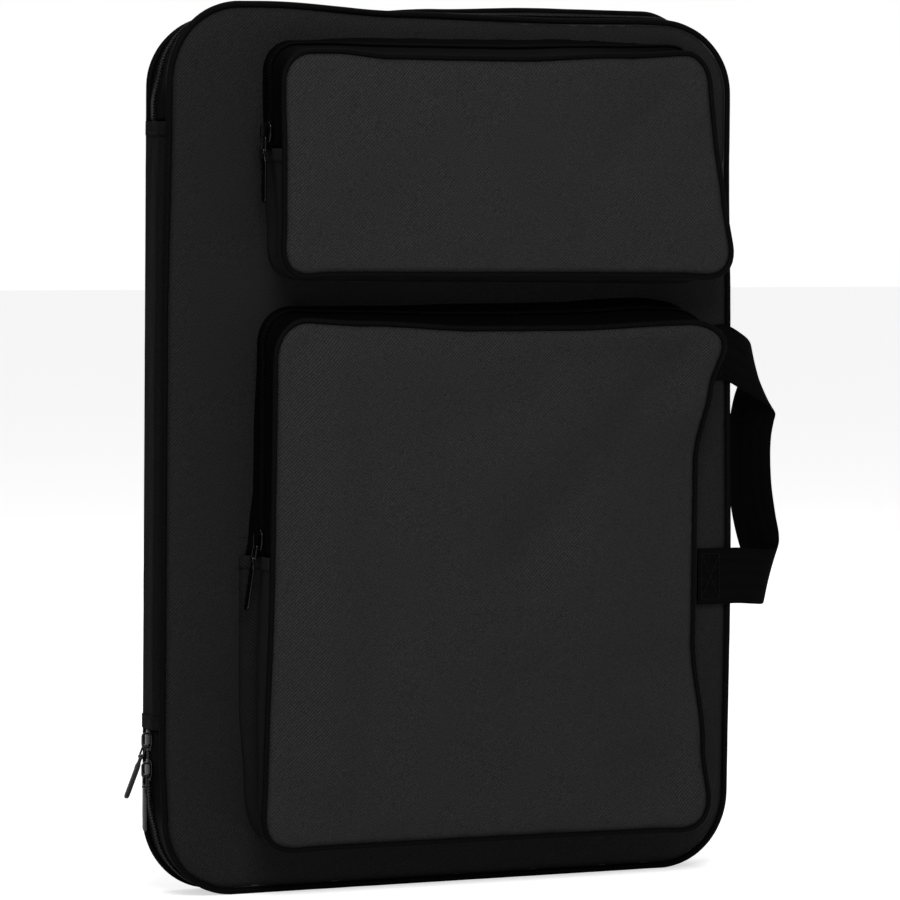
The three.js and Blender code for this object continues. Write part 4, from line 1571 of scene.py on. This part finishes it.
def main() -> None:
    """Builds everything."""
    logging.basicConfig(level=logging.INFO, format="%(name)s: %(message)s")
    bench, wear = Bench(), Wardrobe()
    Studio(bench).build()
    for name, side in (("back", 1), ("front", -1)):
        Cover(bench, wear, name, side).build()
    Interior(bench, wear).build()
    Spine(bench, wear).build()
    collapse = [(40, 0.05), (72, 0.35), (130, 1.0), (230, 1.0), (272, 0.45), (300, 0.0)]
    Pocket(
        bench, wear, "large_pocket",
        base=Outline(-125, 152, 25, 320, 22, start=185), face=Outline(-126, 152, 26, 312, 22, start=185),
        zip_end=185,
        base_left=[(32, 0.4), (60, -3.0), (106, -6.5), (178, -6.5), (198, -3.5), (222, -1.2), (300, 0.8)],
        face_left=[(40, -4.0), (185, 0.0), (300, 0.6)],
        face_right=[(50, -2.5), (150, -1.5), (240, -1.0), (288, 2.6)],
        face_top=[(-120, 3.2), (-70, 0.4), (0, -3.4), (60, -3.6), (130, -0.8)],
        face_bottom=[(-120, -1.2), (0, -1.4), (150, -2.6)],
        base_top=[(-125, 1.8), (-60, 1.8), (20, 2.6), (60, 3.6), (112, 5.6), (140, 3.0)],
        base_bottom=[(-120, 0.0), (150, 0.0)],
        sink=lambda x, z: 21.0 * smooth(62, 152, x) * through(collapse, z),
        tugs=[(-126, 30, -2.2, -2.8), (150, 30, 2.5, -2.5), (152, 304, 4.5, 1.5)],
        creases=[
            (Vector((140, 296)), Vector((30, 185)), 20, 7.0),
            (Vector((100, 302)), Vector((-20, 250)), 24, 3.0),
            (Vector((-92, 288)), Vector((-86, 70)), 17, -4.6),
            (Vector((130, 50)), Vector((40, 110)), 22, 3.6),
        ],
    ).build()
    Pocket(
        bench, wear, "top_pocket",
        base=Outline(-121.5, 157, 330, 465, 18, start=405),
        face=Outline(-122.5, 157, 337, 458, 18, start=405),
        zip_end=405,
        base_left=[(335, 6.6), (357, 5.6), (405, 1.4), (430, 0.0)],
        face_left=[(345, 2.9), (376, 1.8), (404, 1.8), (431, 1.0)],
        face_right=[(350, 2.2), (378, 0.6), (412, -0.6), (446, -1.8)],
        face_top=[(-115, 1.0), (-90, 1.4), (-55, -1.5), (20, -1.6), (90, 1.6), (148, 4.4)],
        face_bottom=[(-110, -1.6), (0, -2.0), (150, -2.7)],
        base_top=[(-110, 0.2), (-55, 2.8), (0, 3.0), (60, 3.6), (130, 3.8), (152, 1.5)],
        base_bottom=[(-110, 2.7), (0, 1.5), (150, 0.0)],
        sink=lambda x, z: 16.5 * smooth(45, 157, x) * smooth(342, 450, z),
        tugs=[(-120, 341, -2.6, -2.4), (155, 341, 3.0, -2.4)],
        creases=[
            (Vector((130, 440)), Vector((60, 385)), 14, 1.4),
            (Vector((-100, 350)), Vector((-40, 390)), 16, 1.0),
        ],
    ).build()
    for name, swing, link, tab in (("main_upper", 22, 7.5, 24), ("main_lower", 0, 7.5, 24),
                                   ("large_pocket", 9, 9, 27.5), ("top_pocket", 0, 9, 27.5)):
        ZipPull(bench, wear, name, swing, link, tab).build()
    Handle(bench, wear).build()


if __name__ == "__main__":
    main()
